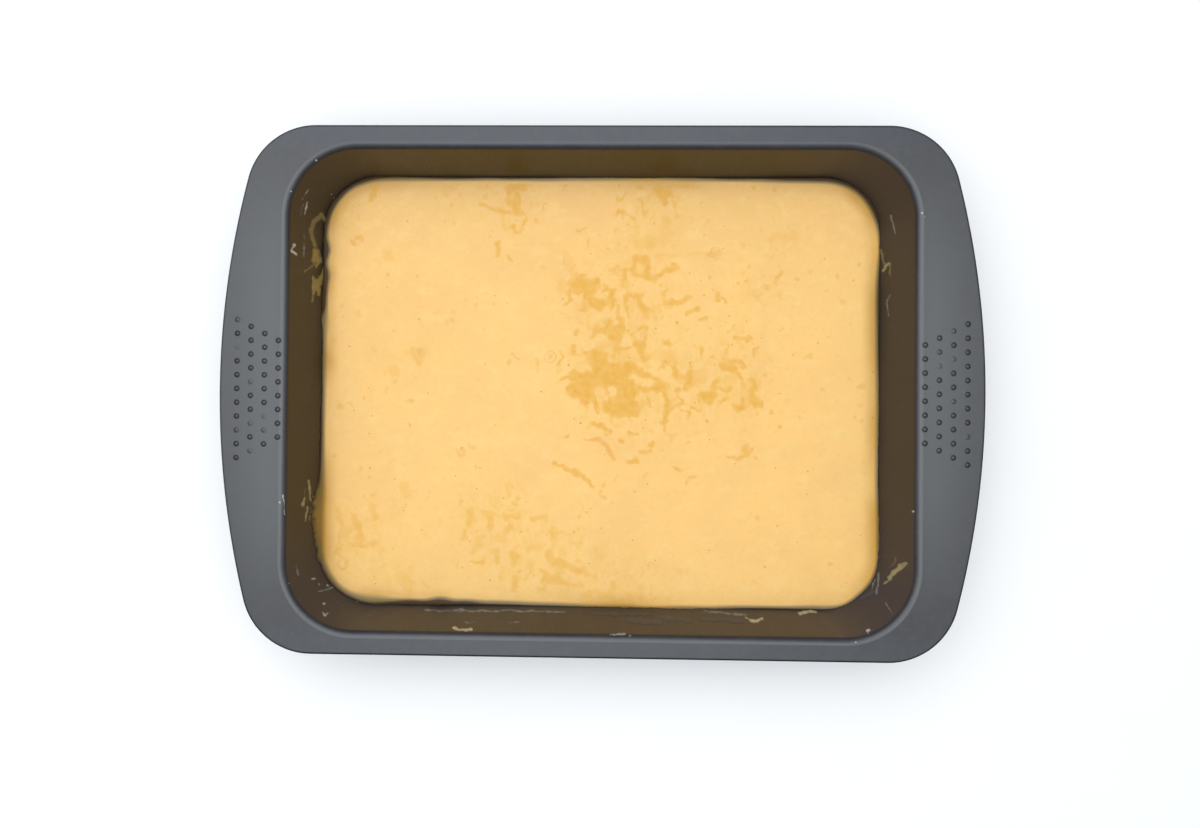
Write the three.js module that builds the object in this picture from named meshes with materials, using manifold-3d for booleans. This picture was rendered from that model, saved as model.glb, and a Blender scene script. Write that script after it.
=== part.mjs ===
// A soaked sponge cake in the pressed steel tin that it was baked and soaked in.
//
// Millimetres, +Z up. The origin is under the middle of the tin's flat bottom, +X runs
// along the tin towards one handle, and +Y runs across it.

import * as THREE from 'three';
import { mergeVertices } from 'three/addons/utils/BufferGeometryUtils.js';
import Module from 'manifold-3d';

const wasm = await Module();
wasm.setup();

// ---- Driving dimensions: the tin ---------------------------------------------------

const TIN_HEIGHT = 50; // bottom to the top of the flange
const SHEET = 0.8; // thickness of the pressed steel
const TIN_HALF_LENGTH = 180.9; // middle of the tin to the middle of a handle's edge
const TIN_HALF_WIDTH = 126;
const HANDLE_ARC_RADIUS = 410; // the handle's edge is one long shallow arc
const TIN_CORNER_RADIUS = 33.4;

const MOUTH_HALF_LENGTH = 151.6; // where the flat flange begins to roll into the wall
const MOUTH_HALF_WIDTH = 118;
const MOUTH_CORNER_RADIUS = 35.8;
const ROLL_RADIUS = 3.5; // top surface of the roll between flange and wall

const END_WALL_SLOPE = THREE.MathUtils.degToRad(15.7); // lean from upright
const SIDE_WALL_SLOPE = THREE.MathUtils.degToRad(12.8);
const FLOOR_CORNER_RADIUS = 25.5; // where the walls would meet the floor, seen from above
const FLOOR_FILLET = 6; // inner radius between wall and floor

const HEM_RADIUS = 1.2; // the flange's edge is folded under on this radius
const HEM_FOLD = 4.5; // how far the folded strip reaches back in

const PIP_DIAMETER = 2.9; // raised grip pips on both handles
const PIP_HEIGHT = 0.5;
const PIP_PITCH = 6.57;
const PIPS_PER_COLUMN = [11, 10, 9, 8]; // from the handle's edge inwards
const PIP_EDGE_MARGIN = 8.7; // outermost column to the handle's edge
const PIP_SHIFT = -0.2; // the whole field sits a little off the middle

// ---- Driving dimensions: the sponge ------------------------------------------------

const SPONGE_LEVEL = 19; // height of its top above the table
const SPONGE_SHOULDER = 2; // its top edge is rounded on this radius
const SPONGE_RELIEF = 0.25; // the top rises and sinks by this much
const CLEARANCE = 0.3; // between the sponge and the steel

// ---- How finely curves are cut -----------------------------------------------------

const HANDLE_STEPS = 8;
const CORNER_STEPS = 11;
const SIDE_STEPS = 4;
const ROLL_STEPS = 4;
const FILLET_STEPS = 3;
const HEM_STEPS = 4;
const SHOULDER_STEPS = 3;
const PIP_SEGMENTS = 8;

// ---- Outlines ----------------------------------------------------------------------

// Every outline is eight curves in the same order, anticlockwise from the +X side, so
// that point number i of one outline lies beside point number i of the next.
const STEPS_PER_CURVE = [
  HANDLE_STEPS, CORNER_STEPS, SIDE_STEPS, CORNER_STEPS,
  HANDLE_STEPS, CORNER_STEPS, SIDE_STEPS, CORNER_STEPS,
];

function outlineLoop(curves, z) {
  const loop = [];
  curves.forEach((curve, index) => {
    const steps = STEPS_PER_CURVE[index];
    for (let step = 0; step < steps; step += 1) {
      const point = curve.getPoint(step / steps);
      loop.push(new THREE.Vector3(point.x, point.y, z));
    }
  });
  return loop;
}

function arc(centreX, centreY, radius, from, to) {
  return new THREE.EllipseCurve(centreX, centreY, radius, radius, from, to);
}

function line(fromX, fromY, toX, toY) {
  return new THREE.LineCurve(new THREE.Vector2(fromX, fromY), new THREE.Vector2(toX, toY));
}

// A rectangle with round corners: the mouth, the walls, the floor and the sponge.
function roundedLoop({ halfLength, halfWidth, cornerRadius }, z) {
  const x = halfLength - cornerRadius;
  const y = halfWidth - cornerRadius;
  const quarter = Math.PI / 2;
  return outlineLoop([
    line(halfLength, -y, halfLength, y),
    arc(x, y, cornerRadius, 0, quarter),
    line(x, halfWidth, -x, halfWidth),
    arc(-x, y, cornerRadius, quarter, 2 * quarter),
    line(-halfLength, y, -halfLength, -y),
    arc(-x, -y, cornerRadius, 2 * quarter, 3 * quarter),
    line(-x, -halfWidth, x, -halfWidth),
    arc(x, -y, cornerRadius, 3 * quarter, 4 * quarter),
  ], z);
}

// The flange's outline, moved in by inset: straight long sides, and a long shallow arc
// along each handle that runs smoothly into the corner arcs.
function flangeLoop(inset, z) {
  const handleCentreX = TIN_HALF_LENGTH - HANDLE_ARC_RADIUS;
  const cornerY = TIN_HALF_WIDTH - TIN_CORNER_RADIUS;
  const reach = Math.sqrt((HANDLE_ARC_RADIUS - TIN_CORNER_RADIUS) ** 2 - cornerY ** 2);
  const cornerX = handleCentreX + reach;
  const turn = Math.atan2(cornerY, reach);
  const quarter = Math.PI / 2;
  const half = Math.PI;
  const handleRadius = HANDLE_ARC_RADIUS - inset;
  const cornerRadius = TIN_CORNER_RADIUS - inset;
  const sideY = TIN_HALF_WIDTH - inset;
  return outlineLoop([
    arc(handleCentreX, 0, handleRadius, -turn, turn),
    arc(cornerX, cornerY, cornerRadius, turn, quarter),
    line(cornerX, sideY, -cornerX, sideY),
    arc(-cornerX, cornerY, cornerRadius, quarter, half - turn),
    arc(-handleCentreX, 0, handleRadius, half - turn, half + turn),
    arc(-cornerX, -cornerY, cornerRadius, half + turn, 3 * quarter),
    line(-cornerX, -sideY, cornerX, -sideY),
    arc(cornerX, -cornerY, cornerRadius, 3 * quarter, 4 * quarter - turn),
  ], z);
}

// ---- The tin's inner surface -------------------------------------------------------

const MEAN_SLOPE = (END_WALL_SLOPE + SIDE_WALL_SLOPE) / 2;
const WALL_TOP_INSET = ROLL_RADIUS * Math.cos(MEAN_SLOPE);
const WALL_TOP_Z = TIN_HEIGHT - ROLL_RADIUS * (1 - Math.sin(MEAN_SLOPE));

const wallTop = {
  halfLength: MOUTH_HALF_LENGTH - WALL_TOP_INSET,
  halfWidth: MOUTH_HALF_WIDTH - WALL_TOP_INSET,
  cornerRadius: MOUTH_CORNER_RADIUS - WALL_TOP_INSET,
};

// The inside wall at a height, moved outwards by offset (inwards if it is negative).
function wallLoop(offset, z) {
  const drop = WALL_TOP_Z - z;
  const share = drop / (WALL_TOP_Z - SHEET);
  const radius = THREE.MathUtils.lerp(wallTop.cornerRadius, FLOOR_CORNER_RADIUS, share);
  return roundedLoop({
    halfLength: wallTop.halfLength - drop * Math.tan(END_WALL_SLOPE) + offset / Math.cos(END_WALL_SLOPE),
    halfWidth: wallTop.halfWidth - drop * Math.tan(SIDE_WALL_SLOPE) + offset / Math.cos(SIDE_WALL_SLOPE),
    cornerRadius: radius + offset,
  }, z);
}

// The fillet between wall and floor. Angle MEAN_SLOPE touches the wall, 90 degrees the floor.
function filletLoop(offset, angle) {
  const floorDrop = WALL_TOP_Z - SHEET;
  const radius = FLOOR_FILLET + offset;
  const fromCorner = (slope) => (
    FLOOR_FILLET * (Math.tan(slope) - 1 / Math.cos(slope)) + radius * Math.cos(angle)
  );
  return roundedLoop({
    halfLength: wallTop.halfLength - floorDrop * Math.tan(END_WALL_SLOPE) + fromCorner(END_WALL_SLOPE),
    halfWidth: wallTop.halfWidth - floorDrop * Math.tan(SIDE_WALL_SLOPE) + fromCorner(SIDE_WALL_SLOPE),
    cornerRadius: FLOOR_CORNER_RADIUS + fromCorner(MEAN_SLOPE),
  }, SHEET + FLOOR_FILLET - radius * Math.sin(angle));
}

// The roll between flange and wall. Angle 0 is the flat flange.
function rollLoop(offset, angle) {
  const radius = ROLL_RADIUS - offset;
  const inset = radius * Math.sin(angle);
  return roundedLoop({
    halfLength: MOUTH_HALF_LENGTH - inset,
    halfWidth: MOUTH_HALF_WIDTH - inset,
    cornerRadius: MOUTH_CORNER_RADIUS - inset,
  }, TIN_HEIGHT - ROLL_RADIUS + radius * Math.cos(angle));
}

// The loops of a curved stretch, at evenly spaced angles, ends included.
function sweep(steps, from, to, loopAt) {
  const loops = [];
  for (let step = 0; step <= steps; step += 1) {
    loops.push(loopAt(THREE.MathUtils.lerp(from, to, step / steps)));
  }
  return loops;
}

// ---- Solids from loops -------------------------------------------------------------

// Joins each loop to the next and closes the first and the last loop with a fan. The
// first loop is the innermost one on top and the last is underneath, so faces turn out.
function loft(loops) {
  const count = loops[0].length;
  const positions = loops.flat().flatMap((point) => [point.x, point.y, point.z]);
  const indices = [];
  const firstHub = loops.length * count;
  const lastHub = firstHub + 1;
  const last = (loops.length - 1) * count;
  positions.push(0, 0, loops[0][0].z);
  positions.push(0, 0, loops[loops.length - 1][0].z);
  for (let i = 0; i < count; i += 1) {
    const next = (i + 1) % count;
    for (let ring = 0; ring < last; ring += count) {
      indices.push(ring + i, ring + count + next, ring + next);
      indices.push(ring + i, ring + count + i, ring + count + next);
    }
    indices.push(firstHub, i, next);
    indices.push(lastHub, last + next, last + i);
  }
  const geometry = new THREE.BufferGeometry();
  geometry.setAttribute('position', new THREE.Float32BufferAttribute(positions, 3));
  geometry.setIndex(indices);
  return geometry;
}

function toManifold(geometry) {
  const bare = geometry.clone();
  bare.deleteAttribute('normal');
  bare.deleteAttribute('uv');
  const merged = mergeVertices(bare, 1e-4);
  return new wasm.Manifold(new wasm.Mesh({
    numProp: 3,
    vertProperties: new Float32Array(merged.getAttribute('position').array),
    triVerts: new Uint32Array(merged.getIndex().array),
  }));
}

function toGeometry(solid) {
  const mesh = solid.getMesh();
  const geometry = new THREE.BufferGeometry();
  geometry.setAttribute('position', new THREE.Float32BufferAttribute(mesh.vertProperties, 3));
  geometry.setIndex(Array.from(mesh.triVerts));
  geometry.computeVertexNormals();
  return geometry;
}

// ---- The baking tin ----------------------------------------------------------------

// Inside floor, up the wall, over the flange, round the hem and back underneath.
function pressedSheet() {
  const hemZ = TIN_HEIGHT - HEM_RADIUS;
  const hemUnderside = TIN_HEIGHT - 2 * HEM_RADIUS;
  const flangeUnderside = TIN_HEIGHT - SHEET;
  const hemLoop = (angle) => flangeLoop(
    HEM_RADIUS * (1 - Math.sin(angle)),
    hemZ + HEM_RADIUS * Math.cos(angle),
  );
  const quarter = Math.PI / 2;
  const rollEnd = quarter - MEAN_SLOPE;
  return loft([
    ...sweep(FILLET_STEPS, quarter, MEAN_SLOPE, (angle) => filletLoop(0, angle)),
    ...sweep(ROLL_STEPS, rollEnd, 0, (angle) => rollLoop(0, angle)),
    ...sweep(HEM_STEPS, 0, Math.PI, hemLoop),
    flangeLoop(HEM_RADIUS + HEM_FOLD, hemUnderside),
    flangeLoop(HEM_RADIUS + HEM_FOLD, flangeUnderside),
    ...sweep(ROLL_STEPS - 1, 0, rollEnd, (angle) => rollLoop(SHEET, angle)),
    ...sweep(FILLET_STEPS, MEAN_SLOPE, quarter, (angle) => filletLoop(SHEET, angle)),
  ]);
}

// One pip: a low dome whose foot is sunk into the flange.
function gripPip() {
  const radius = PIP_DIAMETER / 2;
  const foot = SHEET / 2;
  const profile = [
    new THREE.Vector2(0, -foot),
    new THREE.Vector2(radius, -foot),
    new THREE.Vector2(radius, 0),
    new THREE.Vector2(radius * 0.62, PIP_HEIGHT * 0.75),
    new THREE.Vector2(0, PIP_HEIGHT),
  ];
  return new THREE.LatheGeometry(profile, PIP_SEGMENTS).rotateX(Math.PI / 2);
}

// Columns along the handle, each one shorter than the last and half a pitch out of step.
function gripPipPlaces() {
  const places = [];
  for (const end of [-1, 1]) {
    PIPS_PER_COLUMN.forEach((pips, column) => {
      const x = TIN_HALF_LENGTH - PIP_EDGE_MARGIN - column * PIP_PITCH;
      for (let pip = 0; pip < pips; pip += 1) {
        const y = PIP_SHIFT + (pip - (pips - 1) / 2) * PIP_PITCH;
        places.push(new THREE.Vector3(end * x, y, TIN_HEIGHT));
      }
    });
  }
  return places;
}

function bakingTin() {
  const pip = toManifold(gripPip());
  let tin = toManifold(pressedSheet());
  for (const place of gripPipPlaces()) {
    tin = tin.add(pip.translate(place.toArray()));
  }
  return toGeometry(tin);
}

// ---- The soaked sponge -------------------------------------------------------------

// A few slow waves, which leave the top nearly level.
function topRelief(x, y) {
  const alongWave = Math.sin(x / 31 + 0.8) * Math.cos(y / 43 - 0.4);
  const acrossWave = Math.sin(x / 67 - y / 38 + 2.1);
  return (SPONGE_RELIEF * (alongWave + acrossWave)) / 2;
}

// The top's own loops shrink towards the middle and follow the relief.
function topLoop(share) {
  const edge = wallLoop(-CLEARANCE - SPONGE_SHOULDER, SPONGE_LEVEL);
  return edge.map((point) => {
    const x = point.x * share;
    const y = point.y * share;
    return new THREE.Vector3(x, y, SPONGE_LEVEL + topRelief(x, y) * (1 - share ** 4));
  });
}

function soakedSponge() {
  const quarter = Math.PI / 2;
  const shoulderZ = SPONGE_LEVEL - SPONGE_SHOULDER;
  const shoulderLoop = (angle) => wallLoop(
    -CLEARANCE - SPONGE_SHOULDER * (1 - Math.cos(angle)),
    shoulderZ + SPONGE_SHOULDER * Math.sin(angle),
  );
  return loft([
    topLoop(0.2),
    topLoop(0.4),
    topLoop(0.6),
    topLoop(0.8),
    ...sweep(SHOULDER_STEPS, quarter, 0, shoulderLoop),
    ...sweep(FILLET_STEPS, MEAN_SLOPE, quarter, (angle) => filletLoop(-CLEARANCE, angle)),
  ]);
}

// ---- The model ---------------------------------------------------------------------

const coatedSteel = new THREE.MeshStandardMaterial({
  name: 'coated_steel', color: 0x54565c, roughness: 0.42, metalness: 0.25,
});
const wetSponge = new THREE.MeshStandardMaterial({
  name: 'wet_sponge', color: 0xf6c67d, roughness: 0.35, metalness: 0,
});

function part(name, geometry, material) {
  const mesh = new THREE.Mesh(geometry, material);
  mesh.name = name;
  return mesh;
}

const cakeInTin = new THREE.Group();
cakeInTin.add(part('baking_tin', bakingTin(), coatedSteel));
cakeInTin.add(part('soaked_sponge', soakedSponge(), wetSponge));

export default cakeInTin;
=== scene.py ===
# %% [markdown]
# # A soaked sponge cake in its baking tin
#
# The photo looks straight down on a pale, wet sponge cake that still sits in the dark
# coated tin it was baked and soaked in. This lesson builds the fine surfaces of both
# around a fixed frame: two plain solids of the right size, made beforehand. Every piece
# below is a mesh worked out by a formula, with a finish worked out by shader nodes.
#
# The frame comes first, because each later piece takes its size and place from it.

# %% Load the frame
import math

import bpy
import numpy as np
from mathutils import Matrix, Vector


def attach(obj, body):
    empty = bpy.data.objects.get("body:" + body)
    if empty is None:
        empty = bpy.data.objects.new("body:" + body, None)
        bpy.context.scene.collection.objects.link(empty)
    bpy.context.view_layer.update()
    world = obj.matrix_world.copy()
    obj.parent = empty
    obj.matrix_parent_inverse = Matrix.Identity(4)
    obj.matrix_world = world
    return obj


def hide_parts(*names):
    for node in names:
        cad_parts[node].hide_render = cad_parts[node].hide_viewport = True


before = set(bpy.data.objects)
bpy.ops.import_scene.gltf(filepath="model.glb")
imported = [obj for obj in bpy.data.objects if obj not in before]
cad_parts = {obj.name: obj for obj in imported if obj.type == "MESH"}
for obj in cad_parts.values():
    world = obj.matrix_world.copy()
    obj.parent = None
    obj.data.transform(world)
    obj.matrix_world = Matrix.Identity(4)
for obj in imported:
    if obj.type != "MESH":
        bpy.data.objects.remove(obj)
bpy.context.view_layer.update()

MM = 0.001  # the scene is in metres, and every size below is written in millimetres
print("frame nodes:", sorted(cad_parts))

# %% [markdown]
# ## The camera
#
# Seen from right above, a tin shows its perspective in the walls: they lean, and the eye
# looks down them. A camera could be placed by eye, but here its height, its small tilts
# and its focal length were worked out from three outlines, the tin's, its mouth's and
# the cake's, so that all of them fall where the photo has them. The lens doesn't point
# at the picture's middle, which a small lens shift repeats.

# %% Camera
PHOTO_WIDTH = 1200  # pixels
PHOTO_HEIGHT = 828
FOCAL_PIXELS = 911.5  # focal length, measured in photo pixels
AXIS_U = 572.4  # the pixel that the lens points at
AXIS_V = 388.1
SENSOR_WIDTH = 36.0
CAMERA_PLACE = (-1.37, -3.18, 480.0)
CAMERA_TURNS = (("X", -0.593), ("Y", -1.463), ("Z", -0.481))  # degrees, in this order


def sight_matrix():
    """Turns directions of the scene into directions of the camera."""
    turn = Matrix.Identity(3)
    for axis, degrees in CAMERA_TURNS:
        turn = Matrix.Rotation(math.radians(degrees), 3, axis) @ turn
    return turn


def add_camera():
    lens = bpy.data.cameras.new("photo_camera")
    lens.sensor_width = SENSOR_WIDTH
    lens.lens = FOCAL_PIXELS * SENSOR_WIDTH / PHOTO_WIDTH
    lens.shift_x = (PHOTO_WIDTH / 2 - AXIS_U) / PHOTO_WIDTH
    lens.shift_y = (AXIS_V - PHOTO_HEIGHT / 2) / PHOTO_WIDTH
    lens.clip_start = 10 * MM
    made = bpy.data.objects.new("photo_camera", lens)
    bpy.context.scene.collection.objects.link(made)
    place = Matrix.Translation(Vector(CAMERA_PLACE) * MM)
    made.matrix_world = place @ sight_matrix().transposed().to_4x4()
    bpy.context.scene.camera = made
    return made


camera = add_camera()
print(f"lens {camera.data.lens:.2f} mm, shift {camera.data.shift_x:.4f}, {camera.data.shift_y:.4f}")

# %% [markdown]
# ## From a pixel of the photo to a place on the object
#
# Marks on the cake and smears on the walls are easiest to read off the photo. A line of
# sight through such a pixel is followed from the camera until it meets the surface that
# carries the mark. The mark then lies on that surface, and is right from every side.

# %% Lines of sight
EYE = np.array(CAMERA_PLACE)
CAMERA_TO_SCENE = np.array(sight_matrix().transposed())


def lines_of_sight(pixels):
    """Directions, one millimetre deep, in which the camera sees pixels (rows of u, v)."""
    u, v = np.asarray(pixels, dtype=float).reshape(-1, 2).T
    toward = np.stack(((u - AXIS_U) / FOCAL_PIXELS, (AXIS_V - v) / FOCAL_PIXELS, -np.ones(len(u))))
    return (CAMERA_TO_SCENE @ toward).T


def on_level(pixels, height):
    """Where lines of sight through pixels meet a level plane, in millimetres."""
    toward = lines_of_sight(pixels)
    return EYE + toward * ((height - EYE[2]) / toward[:, 2])[:, None]


print("middle of the photo, on the floor:", np.round(on_level((600, 414), 0.0)[0], 1))

# %% [markdown]
# ## Shader maths as plain Python
#
# Node trees are hard to read as lists of links. A small class that wraps one output of a
# node and answers to +, - and * lets a mask be written as `1 - edge * 0.4`.
# `Shading` holds a whole tree, and every other kind of node comes from its one method.

# %% Wires and node trees
class Wire:
    """One output of a node, carrying a number that varies over the surface."""

    def __init__(self, shading, socket):
        self.shading = shading
        self.socket = socket

    def maths(self, operation, first, second):
        return self.shading.node("ShaderNodeMath", {"operation": operation}, {0: first, 1: second})

    def __add__(self, other):
        return self.maths("ADD", self, other)

    def __sub__(self, other):
        return self.maths("SUBTRACT", self, other)

    def __rsub__(self, other):
        return self.maths("SUBTRACT", other, self)

    def __mul__(self, other):
        return self.maths("MULTIPLY", self, other)

    def __neg__(self):
        return self * -1

    __radd__ = __add__
    __rmul__ = __mul__

    def within(self, low, high):
        """0 at low and before it, 1 at high and beyond it, and smooth between them."""
        sockets = {"Value": self, "From Min": low, "From Max": high}
        return self.shading.node("ShaderNodeMapRange", {"interpolation_type": "SMOOTHSTEP"}, sockets)

    def away(self, low, high):
        """The same on both sides of zero: 0 up to low, and 1 from high on."""
        return (self * self).within(low ** 2, high ** 2)


class Shading:
    """The node tree of a material or of the world, written as Python."""

    def __init__(self, owner):
        owner.use_nodes = True
        self.owner = owner
        self.tree = owner.node_tree
        self.tree.nodes.clear()

    def node(self, kind, settings=None, sockets=None, output=0):
        made = self.tree.nodes.new(kind)
        for name, value in (settings or {}).items():
            if name == "stops":
                self.set_stops(made.color_ramp.elements, value)
            else:
                setattr(made, name, value)
        for name, value in (sockets or {}).items():
            if isinstance(value, Wire):
                self.tree.links.new(value.socket, made.inputs[name])
            else:
                made.inputs[name].default_value = value
        return Wire(self, made.outputs[output]) if made.outputs else made

    @staticmethod
    def set_stops(elements, stops):
        """A ramp's stops: pairs of a place from 0 to 1 and a colour."""
        while len(elements) < len(stops):
            elements.new(1.0)
        for element, (place, colour) in zip(elements, stops):
            element.position = place
            element.color = (*colour, 1.0)

    def place(self):
        """Where a point is, in metres, in the frame of the whole object."""
        return self.node("ShaderNodeTexCoord", output="Object")

    def axes(self):
        """The same place as three numbers."""
        split = self.node("ShaderNodeSeparateXYZ", sockets={"Vector": self.place()})
        return [Wire(self, output) for output in split.socket.node.outputs]

    def noise(self, size, detail=2.0, roughness=0.5, stretch=(1, 1, 1)):
        """Cloudy noise from 0 to 1. Its clouds are about size millimetres wide."""
        stretched = self.node("ShaderNodeMapping", sockets={"Vector": self.place(), "Scale": stretch})
        sockets = {"Vector": stretched, "Scale": 1 / (size * MM), "Detail": detail, "Roughness": roughness}
        return self.node("ShaderNodeTexNoise", sockets=sockets)

    def attribute(self, name):
        """A number that the mesh itself carries at each vertex."""
        return self.node("ShaderNodeAttribute", {"attribute_name": name}, output="Fac")

    def mix(self, share, first, second):
        """A colour between two colours, each a wire or three numbers."""
        first, second = (c if isinstance(c, Wire) else (*c, 1.0) for c in (first, second))
        return self.node("ShaderNodeMix", {"data_type": "RGBA"}, {0: share, 6: first, 7: second}, output=2)

    def bump(self, height, depth, under=None):
        """A normal tipped by a height map whose 0 to 1 stands for depth millimetres."""
        sockets = {"Height": height, "Distance": depth * MM}
        if under is not None:
            sockets["Normal"] = under
        return self.node("ShaderNodeBump", sockets=sockets, output="Normal")

    def surface(self, shader):
        """Ends the tree: this shader covers the surface."""
        self.node("ShaderNodeOutputMaterial", sockets={"Surface": shader})
        return self.owner


def new_finish(name):
    return Shading(bpy.data.materials.new(name))


print("shader helpers ready")

# %% [markdown]
# ## Light
#
# The photo has one broad soft light overhead, a little towards the top left, in a white
# room. A plain white world would light the cake well but leave the dark tin without
# shape. So the world is bright overhead and falls off to grey at the horizon: rolled
# edges and pips then mirror the grey and get their dark outlines. One large area light
# gives the soft shadow below the tin's lower edge and the grey sheen of its rim.

# %% World and softbox
SKY_STOPS = ((0.0, 0.20), (0.30, 0.24), (0.70, 0.62), (1.0, 0.76))  # sine of height, radiance
SKY_COLOUR = (0.955, 0.975, 1.0)
SOFTBOX_PLACE = (-0.17, 0.20, 1.42)  # metres
SOFTBOX_SIZE = (1.70, 1.95)
SOFTBOX_RADIANCE = 2.18
SOFTBOX_COLOUR = (0.945, 0.975, 1.0)


def light_world():
    world = bpy.data.worlds.new("white_room")
    bpy.context.scene.world = world
    sky = Shading(world)
    strongest = max(light for _, light in SKY_STOPS)
    stops = [(place, [part * light / strongest for part in SKY_COLOUR]) for place, light in SKY_STOPS]
    direction = sky.node("ShaderNodeTexCoord", output="Generated")
    height = sky.node("ShaderNodeSeparateXYZ", sockets={"Vector": direction}, output="Z")
    colour = sky.node("ShaderNodeValToRGB", {"stops": stops}, {"Fac": height})
    light = sky.node("ShaderNodeBackground", sockets={"Color": colour, "Strength": strongest})
    sky.node("ShaderNodeOutputWorld", sockets={"Surface": light})


def add_softbox():
    light = bpy.data.lights.new("softbox", "AREA")
    light.shape = "RECTANGLE"
    light.size, light.size_y = SOFTBOX_SIZE
    light.energy = SOFTBOX_RADIANCE * math.pi * SOFTBOX_SIZE[0] * SOFTBOX_SIZE[1]
    light.color = SOFTBOX_COLOUR
    made = bpy.data.objects.new("softbox", light)
    made.location = SOFTBOX_PLACE
    made.rotation_euler = (-Vector(SOFTBOX_PLACE)).to_track_quat("-Z", "Y").to_euler()
    made.visible_camera = False
    bpy.context.scene.collection.objects.link(made)
    return made


light_world()
softbox = add_softbox()
bpy.context.scene.view_settings.view_transform = "Standard"
print(f"softbox {softbox.data.energy:.1f} W")

# %% [markdown]
# ## Meshes from loops
#
# Tin and sponge are both made of closed outlines laid one beside the next, like the
# hoops of a barrel. Outlines could be drawn as curves and filled, but worked out as
# arrays of points they can follow the frame's own dimensions exactly, and each one has
# its point number i beside point number i of its neighbour.

# %% Mesh helpers
SHARP_FOLD = math.radians(50)  # folds sharper than this aren't smoothed over


def add_piece(name, points, faces, material, numbers=None):
    """A smooth-shaded mesh from points in millimetres. Numbers: {name: value a vertex}."""
    mesh = bpy.data.meshes.new(name)
    mesh.from_pydata((np.asarray(points) * MM).tolist(), [], [list(face) for face in faces])
    mesh.update()
    mesh.shade_smooth()
    mesh.set_sharp_from_angle(angle=SHARP_FOLD)
    mesh.materials.append(material)
    for key, values in (numbers or {}).items():
        layer = mesh.attributes.new(key, "FLOAT", "POINT")
        layer.data.foreach_set("value", np.asarray(values, dtype=np.float32))
    piece = bpy.data.objects.new(name, mesh)
    bpy.context.scene.collection.objects.link(piece)
    return piece


def joined_loops(loops, closed=False):
    """The faces between each loop and the next. Closed: the last one meets the first."""
    rings = len(loops)
    count = len(loops[0])
    here = np.arange(count)
    after = np.roll(here, -1)
    faces = []
    for ring in range(rings if closed else rings - 1):
        inner = ring * count
        outer = (ring + 1) % rings * count
        faces += np.column_stack((inner + here, outer + here, outer + after, inner + after)).tolist()
    return faces


def loft(loops):
    """Joins each loop to the next and closes the first and the last with a fan."""
    rings = len(loops)
    count = len(loops[0])
    points = np.vstack([*loops, [[0, 0, loops[0][0, 2]]], [[0, 0, loops[-1][0, 2]]]])
    here = np.arange(count)
    after = np.roll(here, -1)
    faces = joined_loops(loops)
    last = (rings - 1) * count
    first_hub = rings * count
    faces += np.column_stack((np.full(count, first_hub), here, after)).tolist()
    faces += np.column_stack((np.full(count, first_hub + 1), last + after, last + here)).tolist()
    return points, faces


print("mesh helpers ready")

# %% [markdown]
# ## The floor
#
# Only a plain white surface for the tin to stand on and cast its shadow on. It isn't
# attached to a body like the other pieces, which keeps it out of the object.

# %% Floor
FLOOR_HALF = 1600.0  # mm
FLOOR_WHITE = (0.872, 0.874, 0.880)
FLOOR_BRIGHT = (0.884, 0.885, 0.888)


def add_floor():
    finish = new_finish("floor_white")
    colour = finish.mix(finish.noise(30, detail=3), FLOOR_WHITE, FLOOR_BRIGHT)
    shader = finish.node("ShaderNodeBsdfPrincipled", sockets={"Base Color": colour, "Roughness": 0.75})
    corners = [(x * FLOOR_HALF, y * FLOOR_HALF, 0) for x, y in ((-1, -1), (1, -1), (1, 1), (-1, 1))]
    return add_piece("floor", corners, [(0, 1, 2, 3)], finish.surface(shader))


floor = add_floor()
print("floor", floor.dimensions.x, "m wide")

# %% [markdown]
# ## Outlines of the tin
#
# The tin is pressed from one sheet: a floor, leaning walls with round corners, a roll
# over to a wide flat flange, and a hem folded under along the flange's edge. The
# flange's two ends are handles whose edge is one long shallow arc. These are the
# frame's own dimensions, and only the steps are finer here.

# %% Dimensions and outlines
TIN_HEIGHT = 50.0
SHEET = 0.8
TIN_HALF_LENGTH = 180.9
TIN_HALF_WIDTH = 126.0
HANDLE_ARC_RADIUS = 410.0
TIN_CORNER_RADIUS = 33.4
MOUTH = np.array((151.6, 118.0, 35.8))  # half length, half width and corner radius
ROLL_RADIUS = 3.5
END_WALL_SLOPE = math.radians(15.7)  # lean from upright
SIDE_WALL_SLOPE = math.radians(12.8)
FLOOR_CORNER_RADIUS = 25.5
FLOOR_FILLET = 6.0
HEM_RADIUS = 1.2
HEM_FOLD = 4.5

HANDLE_STEPS = 56
CORNER_STEPS = 32
SIDE_STEPS = 72
QUARTER = math.pi / 2
MEAN_SLOPE = (END_WALL_SLOPE + SIDE_WALL_SLOPE) / 2
WALL_TOP_Z = TIN_HEIGHT - ROLL_RADIUS * (1 - math.sin(MEAN_SLOPE))
WALL_TOP = MOUTH - ROLL_RADIUS * math.cos(MEAN_SLOPE)


def arc(centre, radius, start, end, steps):
    """Points along an arc, except its last one, with which the next stretch starts."""
    angle = start + (end - start) * np.arange(steps) / steps
    return np.array(centre) + radius * np.column_stack((np.cos(angle), np.sin(angle)))


def line(start, end, steps):
    """Points along a straight line, except its last one."""
    share = np.arange(steps)[:, None] / steps
    return np.array(start) * (1 - share) + np.array(end) * share


def closed_loop(half_curves, height):
    """Half an outline, its other half turned by 180 degrees, and its height."""
    half = np.vstack(half_curves)
    around = np.vstack((half, -half))
    return np.column_stack((around, np.full(len(around), height)))


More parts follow.
